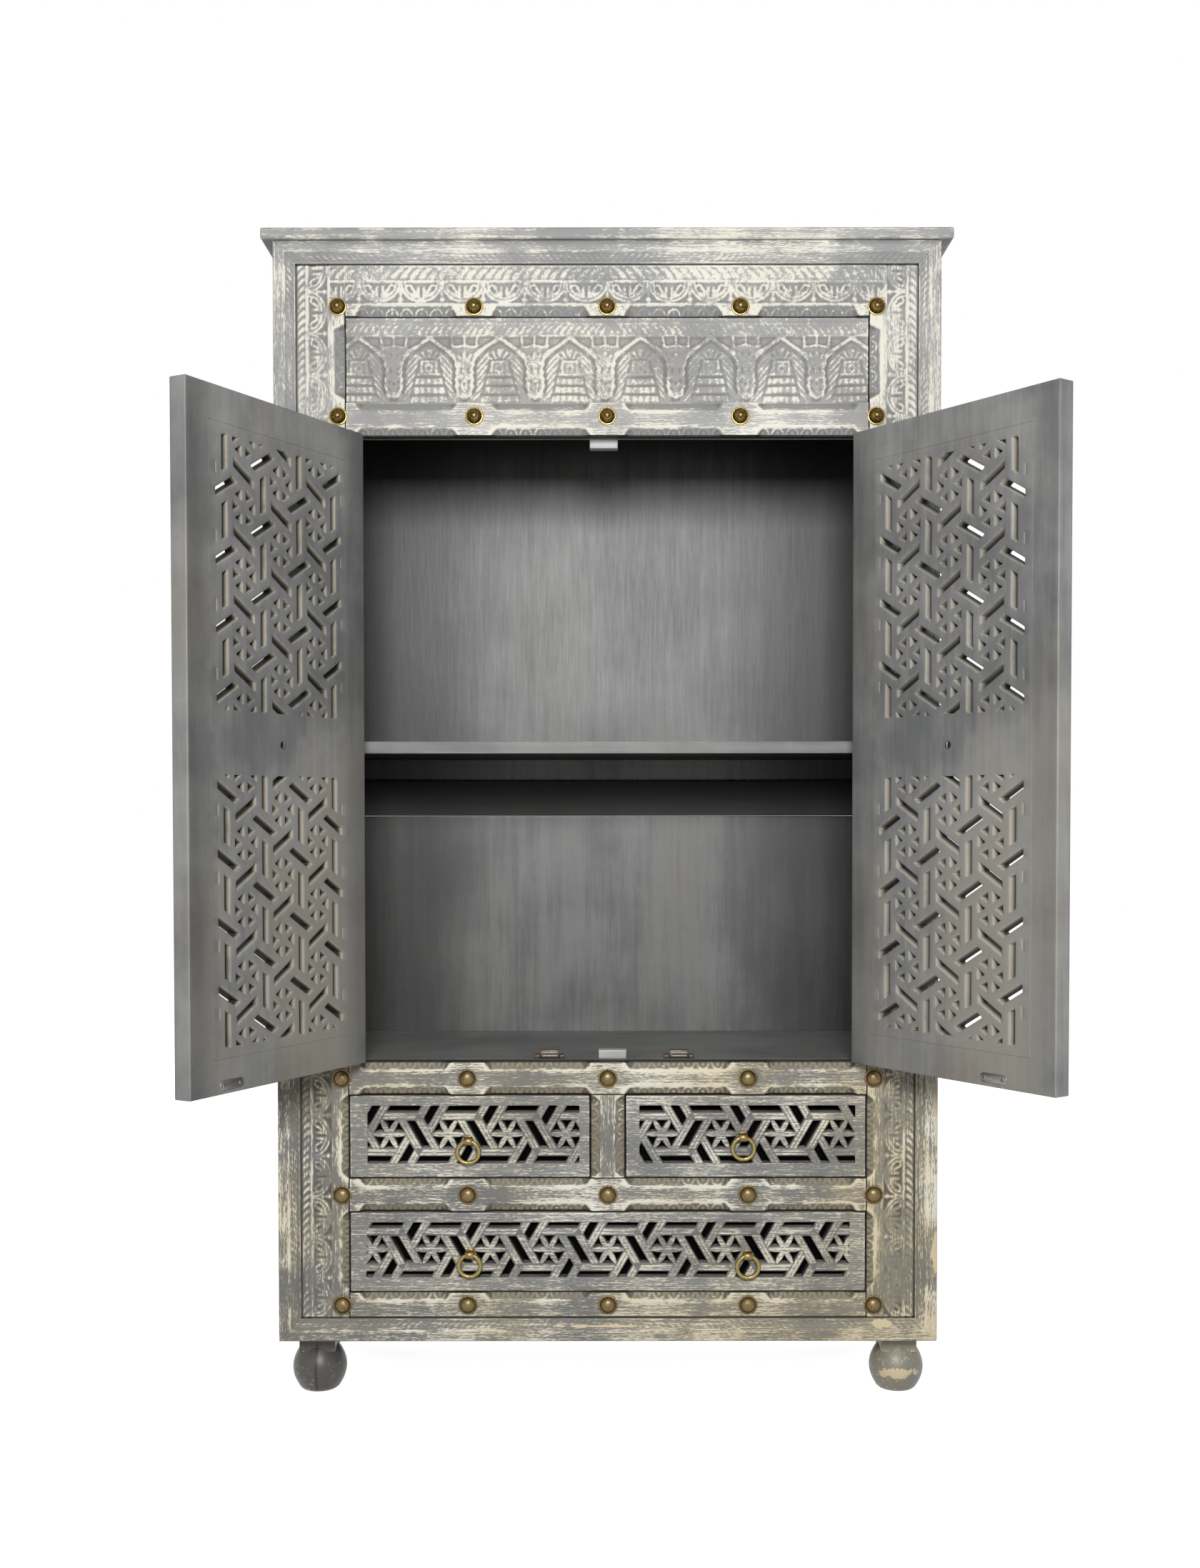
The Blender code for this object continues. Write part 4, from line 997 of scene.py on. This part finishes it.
BOARD_END = OPENING_HALF - CLEAR
ACROSS = steps(-BOARD_END, BOARD_END, FINE_STEP)
CROWN_ROWS = np.append(steps(PANEL_TOP + SEAM_GAP, CROWN_END, STEP), TOP)
FRIEZE_ROWS = steps(FRIEZE, PANEL - SEAM_GAP, STEP)
carved("carved_frieze_rail", "frieze_board", ACROSS, FRIEZE_ROWS, frieze_depth, FACE_X)
carved("carved_frieze", None, ACROSS, steps(PANEL, PANEL_TOP, FINE_STEP), arcade_depth, PANEL_PAINT)
carved("carved_crown", None, ACROSS, CROWN_ROWS, crown_depth, FACE_CARVED)
for name in ("drawer_rail_bottom", "drawer_rail_middle", "drawer_rail_top"):
    low, high = (corner[2] for corner in box_mm(name))
    at_floor = name == "drawer_rail_bottom"
    rows = np.insert(steps(low + MOULDING - 3, high, STEP), 0, low) if at_floor else steps(low, high, STEP)
    carved(f"carved_{name}", name, steps(-BOARD_END, BOARD_END, RAIL_STEP), rows,
           rail_depth(low, high, at_floor), FACE_X)
low, high = box_mm("drawer_divider")
carved("carved_drawer_divider", "drawer_divider", steps(low[0], high[0], DIVIDER_STEP),
       steps(low[2], high[2], DIVIDER_STEP), divider_depth, FACE_Z)


# Frame moulding

MOULDING_SHAPE = (
    [0, 0.5, 1.6, MOULDING_FLAT - 1, MOULDING_FLAT + 1, MOULDING],
    [9.8, 11.0, 11.9, 11.9, 11.2, 3.0],
)
ROUND_EDGE = [0, 0.5, 1.1, 1.8, 3.5]
ACROSS_MOULDING = np.concatenate([ROUND_EDGE, np.arange(5.5, 12, 2.0), np.arange(12, MOULDING + 0.01, 1.0)])


def moulding_rise(along, w, seed):
    """Height of the frame moulding above the face, w from its outer edge."""
    wander = noise(along, w, 29, seed)
    dashes = rope(along + wander, w - MOULDING_FLAT - 2, 12, 10.5, 1.3)
    cut = 1.5 * band(w, MOULDING_FLAT + 2, MOULDING_FLAT + 14, 1.0) * (1 - dashes)
    rise = np.interp(w, *MOULDING_SHAPE) - cut * faded(along, w, seed + 2)
    return rise + 0.15 * noise(along, w, 9, seed + 1)


def moulding(name, place, along, seed, count, paint, under_slab=0.0):
    """A mitred length, u along it from 0 to 1 and v inwards, dark on its slope, with a painted shadow under
    the cornice.
    """
    def depth(u, v):
        tone = -0.3 * band(v, MOULDING_FLAT, MOULDING - 1.5) - under_slab * (1 - ease(2, 11, v))
        return -CLEAR - moulding_rise(along(u, v), v, seed), tone

    carved(f"carved_moulding_{name}", f"frame_moulding_{name}", np.linspace(0, 1, count), ACROSS_MOULDING,
           depth, paint, -CLEAR, place)


def upright(side):
    def place(u, v):
        low, high = BOTTOM + v + CLEAR, TOP - v - CLEAR
        return side * (HALF_WIDTH - v), low + (high - low) * u

    return place


def level(edge, inward):
    def place(u, v):
        return (HALF_WIDTH - v - CLEAR) * (2 * u - 1), edge + inward * v

    return place


def up_the_side(u, v):
    return BOTTOM + v + (TOP - BOTTOM - 2 * v) * u


def from_the_middle(u, v):
    return np.abs((HALF_WIDTH - v) * (2 * u - 1))


for (name, side), seed in zip(SIDES, (51, 55)):
    moulding(name, upright(side), up_the_side, seed, 1000, MOULDING_PAINT)
moulding("bottom", level(BOTTOM, 1), from_the_middle, 71, 660, BASE_PAINT)
# The top length carries a painted shadow under the cornice.
moulding("top", level(TOP, -1), from_the_middle, 75, 660, BASE_PAINT, 0.9)


# Pierced lattice

DOOR_PITCH = 94.0
DRAWER_PITCH = 92.5
SIXTY = math.radians(60)
SKEW = math.sin(SIXTY)
SLOT = 11.0
BAR = 12.5
END_BAR = 13.5
BEAD_LINES = (10.4, 16.4)
BEAD_HALF = 2.5
BEAD_END = 26.5
PETAL_TIP = 27.0
ROSETTE_REACH = 40.0
TRIANGLE_TIP = 9.8
TRIANGLE_OUT = 0.6
OUTSIDE = -1e3


def petal_half(r):
    return 1.1 + 3.5 * np.sin(np.pi * np.clip(r / PETAL_TIP, 0, 1)) ** 0.8


class Lattice:
    """The pierced pattern in a window: rosettes on a triangular grid, a slanted slot between neighbours."""

    def __init__(self, pitch, half, centre, turn, lean, origin, petals):
        self.half = half
        self.centre = centre
        self.turn = math.radians(turn)
        self.petals = petals
        row = pitch * SKEW
        self.apothem = row / 2 - SLOT / 2 - BAR
        self.slot_length = (row / 2 - SLOT / 2 - END_BAR) / SKEW
        self.rosettes, self.slots = [], []
        reach = math.ceil(2 * sum(half) / pitch)
        for i in range(-reach, reach + 1):
            for j in range(-reach, reach + 1):
                x = origin[0] + pitch * (i * math.cos(self.turn) + j * math.cos(self.turn + SIXTY))
                z = origin[1] + pitch * (i * math.sin(self.turn) + j * math.sin(self.turn + SIXTY))
                if abs(x) < half[0] + pitch and abs(z) < half[1] + pitch:
                    self.rosettes.append((x, z))
                    for k in range(3):
                        towards = self.turn + SIXTY * k
                        middle = (x + pitch / 2 * math.cos(towards), z + pitch / 2 * math.sin(towards))
                        self.slots.append((*middle, towards, towards + lean * SIXTY))

    def window(self, x, z):
        """How far a point lies inside the window."""
        aside = self.half[0] - np.abs(x - self.centre[0])
        return np.minimum(aside, self.half[1] - np.abs(z - self.centre[1]))

    def each_slot(self, x, z):
        """Places along and across each slot."""
        for middle_x, middle_z, a, b in self.slots:
            dx, dz = x - self.centre[0] - middle_x, z - self.centre[1] - middle_z
            turn = math.sin(a - b)
            yield (dx * math.sin(a) - dz * math.cos(a)) / turn, (dz * math.cos(b) - dx * math.sin(b)) / turn

    def each_rosette(self, x, z):
        """Radius, distance along the nearest hexagon normal, and off the nearest petal and normal."""
        for middle_x, middle_z in self.rosettes:
            dx, dz = x - self.centre[0] - middle_x, z - self.centre[1] - middle_z
            r = np.hypot(dx, dz)
            sector = np.abs(np.mod(np.arctan2(dz, dx) - self.turn, SIXTY) - SIXTY / 2)
            yield r, r * np.cos(sector), r * np.sin(SIXTY / 2 - sector), r * np.sin(sector)

    def hole(self, x, z):
        """Positive inside a hole, growing inwards."""
        best = np.full(x.shape, OUTSIDE)
        for along, across in self.each_slot(x, z):
            inside = np.minimum(self.slot_length - np.abs(along), SLOT / 2 / SKEW - np.abs(across)) * SKEW
            best = np.maximum(best, inside)
        for r, normal, off_petal, aside in self.each_rosette(x, z):
            if self.petals:
                inside = np.minimum(self.apothem - normal, off_petal - petal_half(r))
            else:
                slope = (normal - TRIANGLE_TIP) * 0.54 - aside * 0.86
                inside = np.minimum(self.apothem + TRIANGLE_OUT - normal, slope)
            best = np.maximum(best, np.where(r < ROSETTE_REACH, inside, OUTSIDE))
        return np.minimum(best, self.window(x, z))

    def rise(self, x, z):
        """Beads along the bars and ridged petals, from 0 to 1."""
        best = np.zeros(x.shape)
        for along, across in self.each_slot(x, z):
            ends = np.clip((BEAD_END - np.abs(along)) / 1.5, 0, 1)
            for line in BEAD_LINES:
                best = np.maximum(best, ends * bead((np.abs(across) - line) * SKEW, BEAD_HALF))
        for r, normal, off_petal, _ in self.each_rosette(x, z):
            petal = bead(off_petal, petal_half(r)) * (1 - 0.4 * np.exp(-((off_petal / 0.8) ** 2)))
            best = np.where((normal < self.apothem) & (r < PETAL_TIP + 3), petal, best)
        return best * np.clip(self.window(x, z), 0, 1)

    def carving(self, x, z, depth):
        """Depth of the ground between the beads and petals."""
        return depth * np.clip(self.window(x, z) / 1.5, 0, 1) * (1 - self.rise(x, z))


def outline(x, z, low, high):
    """Positive outside a rectangle."""
    return np.maximum(np.abs(x - (low[0] + high[0]) / 2) - (high[0] - low[0]) / 2,
                      np.abs(z - (low[1] + high[1]) / 2) - (high[1] - low[1]) / 2)


# Drawer fronts

DRAWER_BOTTOM = 21.0
DRAWER_TOP = 15.0
DRAWER_THICK = 20.0
COARSE = 1


def pierced_front(name, lean, rosette, margins, step):
    """A drawer front with a carved lattice; rosette is one rosette's place from the front's middle."""
    node = f"{name}_front"
    low, high = ((corner[0], corner[2]) for corner in box_mm(node))
    half = ((high[0] - low[0] - sum(margins)) / 2, (high[1] - low[1] - DRAWER_BOTTOM - DRAWER_TOP) / 2)
    aside = (margins[0] - margins[1]) / 2
    centre = ((low[0] + high[0]) / 2 + aside, low[1] + DRAWER_BOTTOM + half[1])
    pattern = Lattice(DRAWER_PITCH, half, centre, 0, lean, (rosette - aside, 0.0), True)
    margin = step * 0.6
    xs = steps(low[0] - margin, high[0] + margin, step)
    zs = steps(low[1] - margin, high[1] + margin, step)

    def hole(x, z):
        return np.maximum(pattern.hole(x, z), outline(x, z, low, high))

    def front(x, z):
        rim = 0.9 * np.clip(1 + hole(x, z) / 1.4, 0, 1) ** 2
        return FRONT / MM + pattern.carving(x, z, 2.0) + rim + 0.12 * noise(x, z, 13, 5)

    def back(x, z):
        return np.full(x.shape, FRONT / MM + DRAWER_THICK)

    def ridge(x, z):
        lift = np.where(pattern.window(x, z) > 0, 0.95 * pattern.rise(x, z) - 0.5, 0.0)
        edge = 0.6 * np.clip(1 + outline(x, z, low, high) / 2.5, 0, 1)
        return np.clip(lift + edge, -1, 1)

    add(f"pierced_{name}", pierced(xs, zs, hole, front, back, ridge), DRAWER_PAINT, name, [node],
        inner=DARK_SLOT_PAINT)


pierced_front("drawer_left", -1, 58.4, (26.5, 15.5), 1.25 * COARSE)
pierced_front("drawer_right", 1, -38.7, (20.5, 15.5), 1.25 * COARSE)
pierced_front("drawer_large", -1, 0.0, (24.0, 24.0), 1.5 * COARSE)


# Doors, each built about the middle of its outer face

DOOR_HALF = 199.9
DOOR_TALL = 485.0
DOOR_THICK = 28.0
DOOR_STILE = 45.0
DOOR_RAIL = 49.0
DOOR_EDGE = 1.6
AXIS_PROUD = 5.2
PANEL_RECESS = 4.0
MID_BAND = 89.0
MARGIN = 14.0
FRAME_GAP = 0.1
WORN_REACH = 8.0
DOOR_STEP = 2.3 * COARSE
INNER_HALF, INNER_TALL = DOOR_HALF - DOOR_STILE, DOOR_TALL - DOOR_RAIL


def outer_edge(at):
    return abs(at.x) > DOOR_HALF - WORN_REACH or abs(at.z) > DOOR_TALL - WORN_REACH


def door_frame():
    between = INNER_HALF - FRAME_GAP
    corners = [
        ((-DOOR_HALF, 0, -DOOR_TALL), (-INNER_HALF, DOOR_THICK, DOOR_TALL)),
        ((INNER_HALF, 0, -DOOR_TALL), (DOOR_HALF, DOOR_THICK, DOOR_TALL)),
        ((-between, 0, INNER_TALL), (between, DOOR_THICK, DOOR_TALL)),
        ((-between, 0, -DOOR_TALL), (between, DOOR_THICK, -INNER_TALL)),
    ]
    return joined([softened(*pair, 1.8, 6.0, 3, 0.35, outer_edge) for pair in corners])


def door_panel(side):
    """A panel with two pierced windows, beaded on its outer face, that mirror each other."""
    half, tall = INNER_HALF - CLEAR, INNER_TALL - CLEAR
    window_half = half - MARGIN
    window_tall = ((2 * tall - MID_BAND) / 2 - MARGIN) / 2
    rise = MID_BAND / 2 + window_tall
    first = (0.0, DOOR_PITCH / 2)
    windows = [
        Lattice(DOOR_PITCH, (window_half, window_tall), (0.0, up * rise), 90, up * side, first, False)
        for up in (1, -1)
    ]
    rim_x, rim_z = np.array([half - 1, half + 1]), np.array([tall - 1, tall + 1])
    xs = np.concatenate([-rim_x[::-1], steps(-window_half - 2, window_half + 2, DOOR_STEP), rim_x])
    low_rows = steps(-rise - window_tall - 2, -rise + window_tall + 2, DOOR_STEP)
    zs = np.concatenate([-rim_z[::-1], low_rows, -low_rows[::-1], rim_z])

    def slots(x, z):
        return np.maximum(windows[0].hole(x, z), windows[1].hole(x, z))

    def hole(x, z):
        return np.maximum(slots(x, z), outline(x, z, (-half, -tall), (half, tall)))

    def outer(x, z):
        return PANEL_RECESS + sum(window.carving(x, z, 1.8) for window in windows)

    def inner(x, z):
        return DOOR_THICK - 0.8 * np.clip(1 + slots(x, z) / 1.1, 0, 1)

    def ridge(x, z):
        return 0.62 * np.clip(1 + slots(x, z) / 2.0, 0, 1)

    return pierced(xs, zs, hole, outer, inner, ridge)


door_places = {}
for name, side, closed in (("door_left", -1, 1), ("door_right", 1, 0)):
    joint = JOINTS[f"{name}_hinge"]
    opened = Matrix.Rotation(-math.radians(joint["range_deg"][closed]), 4, "Z")
    shift = moved(-side * (DOOR_EDGE + DOOR_HALF), AXIS_PROUD, 0.0)
    matrix = Matrix.Translation(joint["pos_m"]) @ opened @ shift
    door_places[name] = (matrix, side)
    add(f"framed_{name}", door_frame(), DOOR_PAINTS[name], name, [f"{name}_frame"], matrix)
    add(f"pierced_{name}", door_panel(side), DOOR_PAINTS[name], name, [f"{name}_panel"], matrix,
        SLOT_PAINTS[name])


# Studs

UPPER_STUD = [
    (14.2, 0.0, 0.0), (14.2, 1.0, 0.4), (13.0, 1.9, 0.5), (12.2, 1.9, 0.3), (11.6, 1.0, -0.9),
    (11.0, 0.9, -1.0), (10.7, 1.8, -0.8), (10.2, 3.4, -0.65), (9.0, 5.2, -0.6), (7.0, 6.6, -0.6),
    (5.0, 7.3, -0.65), (3.4, 7.6, -0.9), (2.9, 8.1, -0.3), (2.4, 9.1, 0.3), (1.5, 9.7, 0.5), (0.4, 9.9, 0.5),
]
LOWER_STUD = [
    (15.2, 0.0, -0.3), (15.2, 0.9, 0.1), (14.0, 1.7, 0.1), (12.9, 1.6, -0.4), (12.4, 1.5, -0.8),
    (12.0, 2.6, -0.3), (11.2, 4.4, 0.0), (9.6, 6.4, 0.2), (7.4, 7.9, 0.3), (4.8, 8.9, 0.3), (2.2, 9.3, 0.3),
    (0.4, 9.4, 0.3),
]
TEETH = 30


def studs(name, profile, rows, columns, material):
    meshes = []
    for z in rows:
        for x in columns:
            meshes.append(turned(profile, 4 * TEETH, TEETH))
            meshes[-1].transform(Matrix.Translation((x * MM, FRONT, z * MM)) @ OUTWARD)
    add(name, joined(meshes), material, "case")


studs("studs_upper", UPPER_STUD, HIGH_STUD_ROWS, FRIEZE_STUDS, BRASS)
studs("studs_lower", LOWER_STUD, LOW_STUD_ROWS, RAIL_STUDS, BRONZE)


# Ring pulls

STANDOFF = 10.5
EYE = 5.9
STRAP_LEG = [(-0.6, 3.6), (-4.0, 4.2), (-7.5, 5.6)]
STRAP = STRAP_LEG + arc(-STANDOFF, 0.0, EYE, 90, 270, 12) + [(y, -z) for y, z in STRAP_LEG[::-1]]
STRAP_HALF = 6.8
STRAP_THICK = 1.6
RING_RADIUS = 17.0
RING_WIRE = 3.3
RING_SPLIT = 0.6
BACKPLATE = [(7.8, 0.0, 0.0), (7.8, 0.9, 0.3), (7.2, 1.5, 0.4), (6.0, 1.6, 0.0), (0.3, 1.6, -0.2)]


def pull(name, body, ring_body, matrix):
    """Backplate, strap and ring at a place whose -Y points out of the face."""
    plate = turned(BACKPLATE, 48)
    plate.transform(OUTWARD)
    mount = joined([plate, swept(STRAP, STRAP_HALF, STRAP_THICK)])
    add(f"{name}_strap", mount, STRAP_BRASS, body, [f"{name}_mount"], matrix)
    ring = torus(RING_RADIUS, RING_WIRE, RING_SPLIT)
    hung = matrix @ moved(0.0, -STANDOFF, 0.0)
    add(f"{name}_hoop", ring, RING_BRASS, ring_body, [f"{name}_ring"], hung)


for name, body, ring_body in (
    ("drawer_left_pull", "drawer_left", "drawer_left_ring"),
    ("drawer_right_pull", "drawer_right", "drawer_right_ring"),
    ("drawer_large_pull_left", "drawer_large", "drawer_large_ring_left"),
    ("drawer_large_pull_right", "drawer_large", "drawer_large_ring_right"),
):
    x, _, z = JOINTS[f"{ring_body}_swing"]["pos_m"]
    pull(name, body, ring_body, Matrix.Translation((x, FRONT, z)))
for name, (matrix, _) in door_places.items():
    pull(f"{name}_pull", name, f"{name}_ring", matrix @ moved(0.0, PANEL_RECESS, 0.0))


# Small fittings on the doors and in the case

PLATE_HALF = 25.0
PLATE_TALL = 7.0
PLATE_THICK = 1.4
PLATE_UP = 5.5
STRIKE_FROM_HINGE = {"door_left": 316.0, "door_right": 290.0}
PLATE_SCREW = [(3.0, 0.0, 0.0), (3.0, 0.4, 0.2), (2.2, 1.0, 0.3), (1.2, 1.1, -0.8), (0.3, 0.8, -1.0)]
PIN = [(0.0, -4.2), (1.6, -3.9), (2.7, -2.2), (3.0, 0.2), (2.8, 2.6), (2.0, 4.4)]
PIN_HALF = 1.7
PIN_THICK = 1.2
PIN_HOLE_SHADOW = [(5.6, 0.0, -1.0), (5.6, 0.2, -1.0), (5.0, 0.4, -1.0), (0.3, 0.3, -1.0)]
EAR_SCREW = [(2.6, 0.0, 0.0), (2.6, 0.5, 0.2), (1.8, 1.0, 0.3), (0.3, 0.6, -1.0)]


def strike_plate():
    """A plate with round ends and two raised screw heads, standing out to -Y."""
    ends = arc(PLATE_HALF - PLATE_TALL, 0, PLATE_TALL, -90, 90, 12)
    ends += [(-x, -z) for x, z in ends]
    points = []
    for y, inset in ((0.0, 0.0), (PLATE_THICK * 0.6, 0.0), (PLATE_THICK, 0.5)):
        points += [(x * (1 - inset / PLATE_HALF), -y, z * (1 - inset / PLATE_TALL)) for x, z in ends]
    parts = [loft(np.array(points) * MM, len(ends))]
    for side in (-1, 1):
        parts.append(turned(PLATE_SCREW, 20))
        parts[-1].transform(moved(side * PLATE_HALF * 0.68, -PLATE_THICK * 0.9, 0) @ OUTWARD)
    return joined(parts)


def pin_end():
    """The bent end of a ring's pin, in front of a dark disc that is a painted shadow for its hole."""
    hole = turned(PIN_HOLE_SHADOW, 28)
    hole.transform(OUTWARD.inverted())
    return joined([swept(PIN, PIN_HALF, PIN_THICK), hole])


for name, (matrix, side) in door_places.items():
    inner_face = matrix @ moved(0.0, DOOR_THICK, 0.0)
    strike = moved(side * (DOOR_HALF - STRIKE_FROM_HINGE[name]), 0.0, PLATE_UP + PLATE_TALL - DOOR_TALL)
    placed = inner_face @ strike @ Matrix.Rotation(math.pi, 4, "Z")
    add(f"{name}_strike_plate", strike_plate(), DULL_STEEL, name, (), placed)
    add(f"{name}_pin_end", pin_end(), PIN_STEEL, name, (), inner_face)


EAR_SHARE = 0.45
EAR_GAP = 0.1
WAIST_SHARE = 0.64
POLE_PROUD = 1.0
POLE_DEEP = 3.0
POLE_SHARE = 0.8
POLE_TALL = 0.17
POLE_FEET = (0.22, 0.62)


def catch(name):
    """A magnet catch: a housing between two screwed ears, with two steel poles across its front."""
    low, high = box_mm(name)
    middle, half = (low[0] + high[0]) / 2, (high[0] - low[0]) / 2
    tall = high[2] - low[2]
    ear_top = low[2] + EAR_SHARE * tall
    waist = WAIST_SHARE * half
    front = low[1] + POLE_PROUD
    parts = [
        softened((middle - waist, front, low[2]), (middle + waist, high[1], high[2]), 0.8),
        softened((low[0], front, low[2]), (middle - waist - EAR_GAP, high[1], ear_top), 0.6),
        softened((middle + waist + EAR_GAP, front, low[2]), (high[0], high[1], ear_top), 0.6),
    ]
    for side in (-1, 1):
        parts.append(turned(EAR_SCREW, 20))
        parts[-1].transform(moved(middle + side * (waist + half) / 2, (low[1] + high[1]) / 2, ear_top - 0.1))
    add(f"housed_{name}", joined(parts), DARK_METAL, "case", [name])
    poles = []
    for share in POLE_FEET:
        foot = low[2] + share * tall
        end = (middle + POLE_SHARE * waist, low[1] + POLE_DEEP, foot + POLE_TALL * tall)
        poles.append(softened((middle - POLE_SHARE * waist, low[1], foot), end, 0.3))
    add(f"{name}_poles", joined(poles), DULL_STEEL, "case")


catch("catch_left")
catch("catch_right")


# Cornice, feet and plain boards

add("eased_cornice", softened(*box_mm("cornice_slab"), 3.5, 5.0, 4, 0.35), FACE_X, "case",
    ["cornice_slab"])

BALL_HEIGHT = 77.0
BALL_RADIUS = 42.8
BALL_SOLE = 0.8
BALL_STEPS = 25
BALL_ARC = (42, 148)
NECK_HALF = 28.5
NECK_SUNK = 14.0
BALL = [(24.0, 0.0, 0.2), (28.0, BALL_SOLE, 0.2)]
for i in range(1, BALL_STEPS):
    around = math.radians(BALL_ARC[0] + (BALL_ARC[1] - BALL_ARC[0]) * i / BALL_STEPS)
    height = BALL_SOLE + (BALL_HEIGHT - BALL_SOLE) * i / BALL_STEPS
    BALL.append((BALL_RADIUS * math.sin(around) ** 0.92, height, 0.0))
BALL.append((18.0, BALL_HEIGHT, 0.0))
for name in ("foot_front_left", "foot_front_right", "foot_back_left", "foot_back_right"):
    low, high = box_mm(name)
    x, y = (low[0] + high[0]) / 2, (low[1] + high[1]) / 2
    paint = SEAMED_PAINT if name == "foot_front_left" else FOOT_PAINT
    ball = turned(BALL, 72)
    ball.transform(moved(x, y, 0.0))
    add(f"turned_{name}", ball, paint, "case", [name])
    near = (x - NECK_HALF, y - NECK_HALF, BALL_HEIGHT - NECK_SUNK)
    far = (x + NECK_HALF, y + NECK_HALF, BOTTOM - CLEAR)
    add(f"neck_{name}", softened(near, far, 1.5, 4.0), paint, "case")

for name, paint in (
    ("shelf", SHELF_PAINT), ("cupboard_floor", INNER_X), ("door_stop_top", STOP_PAINT),
    ("door_stop_floor", STOP_PAINT), ("back_panel_upper", INNER_Z), ("back_rail", RAIL_PAINT),
    ("back_panel_lower", INNER_Z),
):
    add(f"eased_{name}", softened(*box_mm(name), 0.9, 4.0), paint, "case", [name])

PLAIN_PAINTS = {
    "side_panel": SIDE_PAINT, "_tray": TRAY_WOOD_AND_SHADE, "base_panel": RAW_WOOD, "dust_board": RAW_WOOD,
    "leaf": DARK_METAL,
}
for name, node in NODES.items():
    if not node.hide_render:
        node.data.materials.clear()
        node.data.materials.append(next(paint for part, paint in PLAIN_PAINTS.items() if part in name))


# Stage, light and camera

FLOOR_HALF = 12.0
FLOOR_DROP = 0.0002
FLOOR_GREY = (0.50, 0.50, 0.50, 1.0)
FLOOR_GLOW = 0.92
WORLD_LIGHT = 0.13


def by_ray(tree, lit, seen, output):
    """One shader for light, and another for rays that see it from the camera, a gloss or a clear surface."""
    path = new_node(tree, "ShaderNodeLightPath")
    sees = path.outputs["Is Camera Ray"]
    for kind in ("Is Glossy Ray", "Is Transmission Ray"):
        either = new_node(tree, "ShaderNodeMath", operation="MAXIMUM")
        tree.links.new(sees, either.inputs[0])
        tree.links.new(path.outputs[kind], either.inputs[1])
        sees = either.outputs[0]
    pick = new_node(tree, "ShaderNodeMixShader")
    for source, socket in zip((sees, lit.outputs[0], seen.outputs[0]), pick.inputs):
        tree.links.new(source, socket)
    tree.links.new(pick.outputs[0], output.inputs["Surface"])


def stage_floor():
    """A pale floor that looks white but keeps the object's shadow."""
    mesh = bpy.data.meshes.new("floor")
    corners = [(x * FLOOR_HALF, y * FLOOR_HALF, 0) for x, y in ((-1, -1), (1, -1), (1, 1), (-1, 1))]
    mesh.from_pydata(corners, [], [(0, 1, 2, 3)])
    floor = bpy.data.objects.new("floor", mesh)
    floor.location.z = -FLOOR_DROP
    bpy.context.scene.collection.objects.link(floor)
    material = bpy.data.materials.new("floor")
    material.use_nodes = True
    tree = material.node_tree
    shader = tree.nodes["Principled BSDF"]
    shader.inputs["Base Color"].default_value = FLOOR_GREY
    shader.inputs["Roughness"].default_value = 0.9
    glow = new_node(tree, "ShaderNodeEmission")
    glow.inputs["Strength"].default_value = FLOOR_GLOW
    both = new_node(tree, "ShaderNodeAddShader")
    tree.links.new(shader.outputs[0], both.inputs[0])
    tree.links.new(glow.outputs[0], both.inputs[1])
    by_ray(tree, shader, both, tree.nodes["Material Output"])
    mesh.materials.append(material)


def white_world():
    """A dim white surround that looks plain white."""
    world = bpy.data.worlds.new("studio")
    bpy.context.scene.world = world
    world.use_nodes = True
    tree = world.node_tree
    tree.nodes.clear()
    lit = new_node(tree, "ShaderNodeBackground")
    lit.inputs["Strength"].default_value = WORLD_LIGHT
    plain = new_node(tree, "ShaderNodeBackground")
    plain.inputs["Color"].default_value = (1, 1, 1, 1)
    by_ray(tree, lit, plain, new_node(tree, "ShaderNodeOutputWorld"))


def lamp(name, place, target, size, watts):
    data = bpy.data.lights.new(name, "AREA")
    data.shape = "RECTANGLE"
    data.size = size
    data.size_y = size
    data.energy = watts
    made = bpy.data.objects.new(name, data)
    made.location = place
    made.rotation_euler = (Vector(target) - Vector(place)).to_track_quat("-Z", "Y").to_euler()
    bpy.context.scene.collection.objects.link(made)


stage_floor()
white_world()
lamp("key", (0.0, -3.3, 1.80), (0.0, -0.2, 1.10), 0.8, 92.0)
for name, side in SIDES:
    lamp(f"fill_{name}", (side * 2.6, 2.6, 1.90), (0.0, 0.1, 1.00), 1.2, 45.0)

camera_data = bpy.data.cameras.new("camera")
camera_data.lens = 38.545
camera_data.sensor_width = 36.0
camera_data.shift_x = -0.0048
camera_data.shift_y = 0.0479
camera_data.clip_end = 100.0
camera = bpy.data.objects.new("camera", camera_data)
camera.location = (0.0, FRONT - 2.619, 0.9206)
camera.rotation_euler = (math.radians(90) - 0.027, 0.0008, 0.0)
bpy.context.scene.collection.objects.link(camera)
bpy.context.scene.camera = camera
bpy.context.scene.view_settings.view_transform = "Standard"
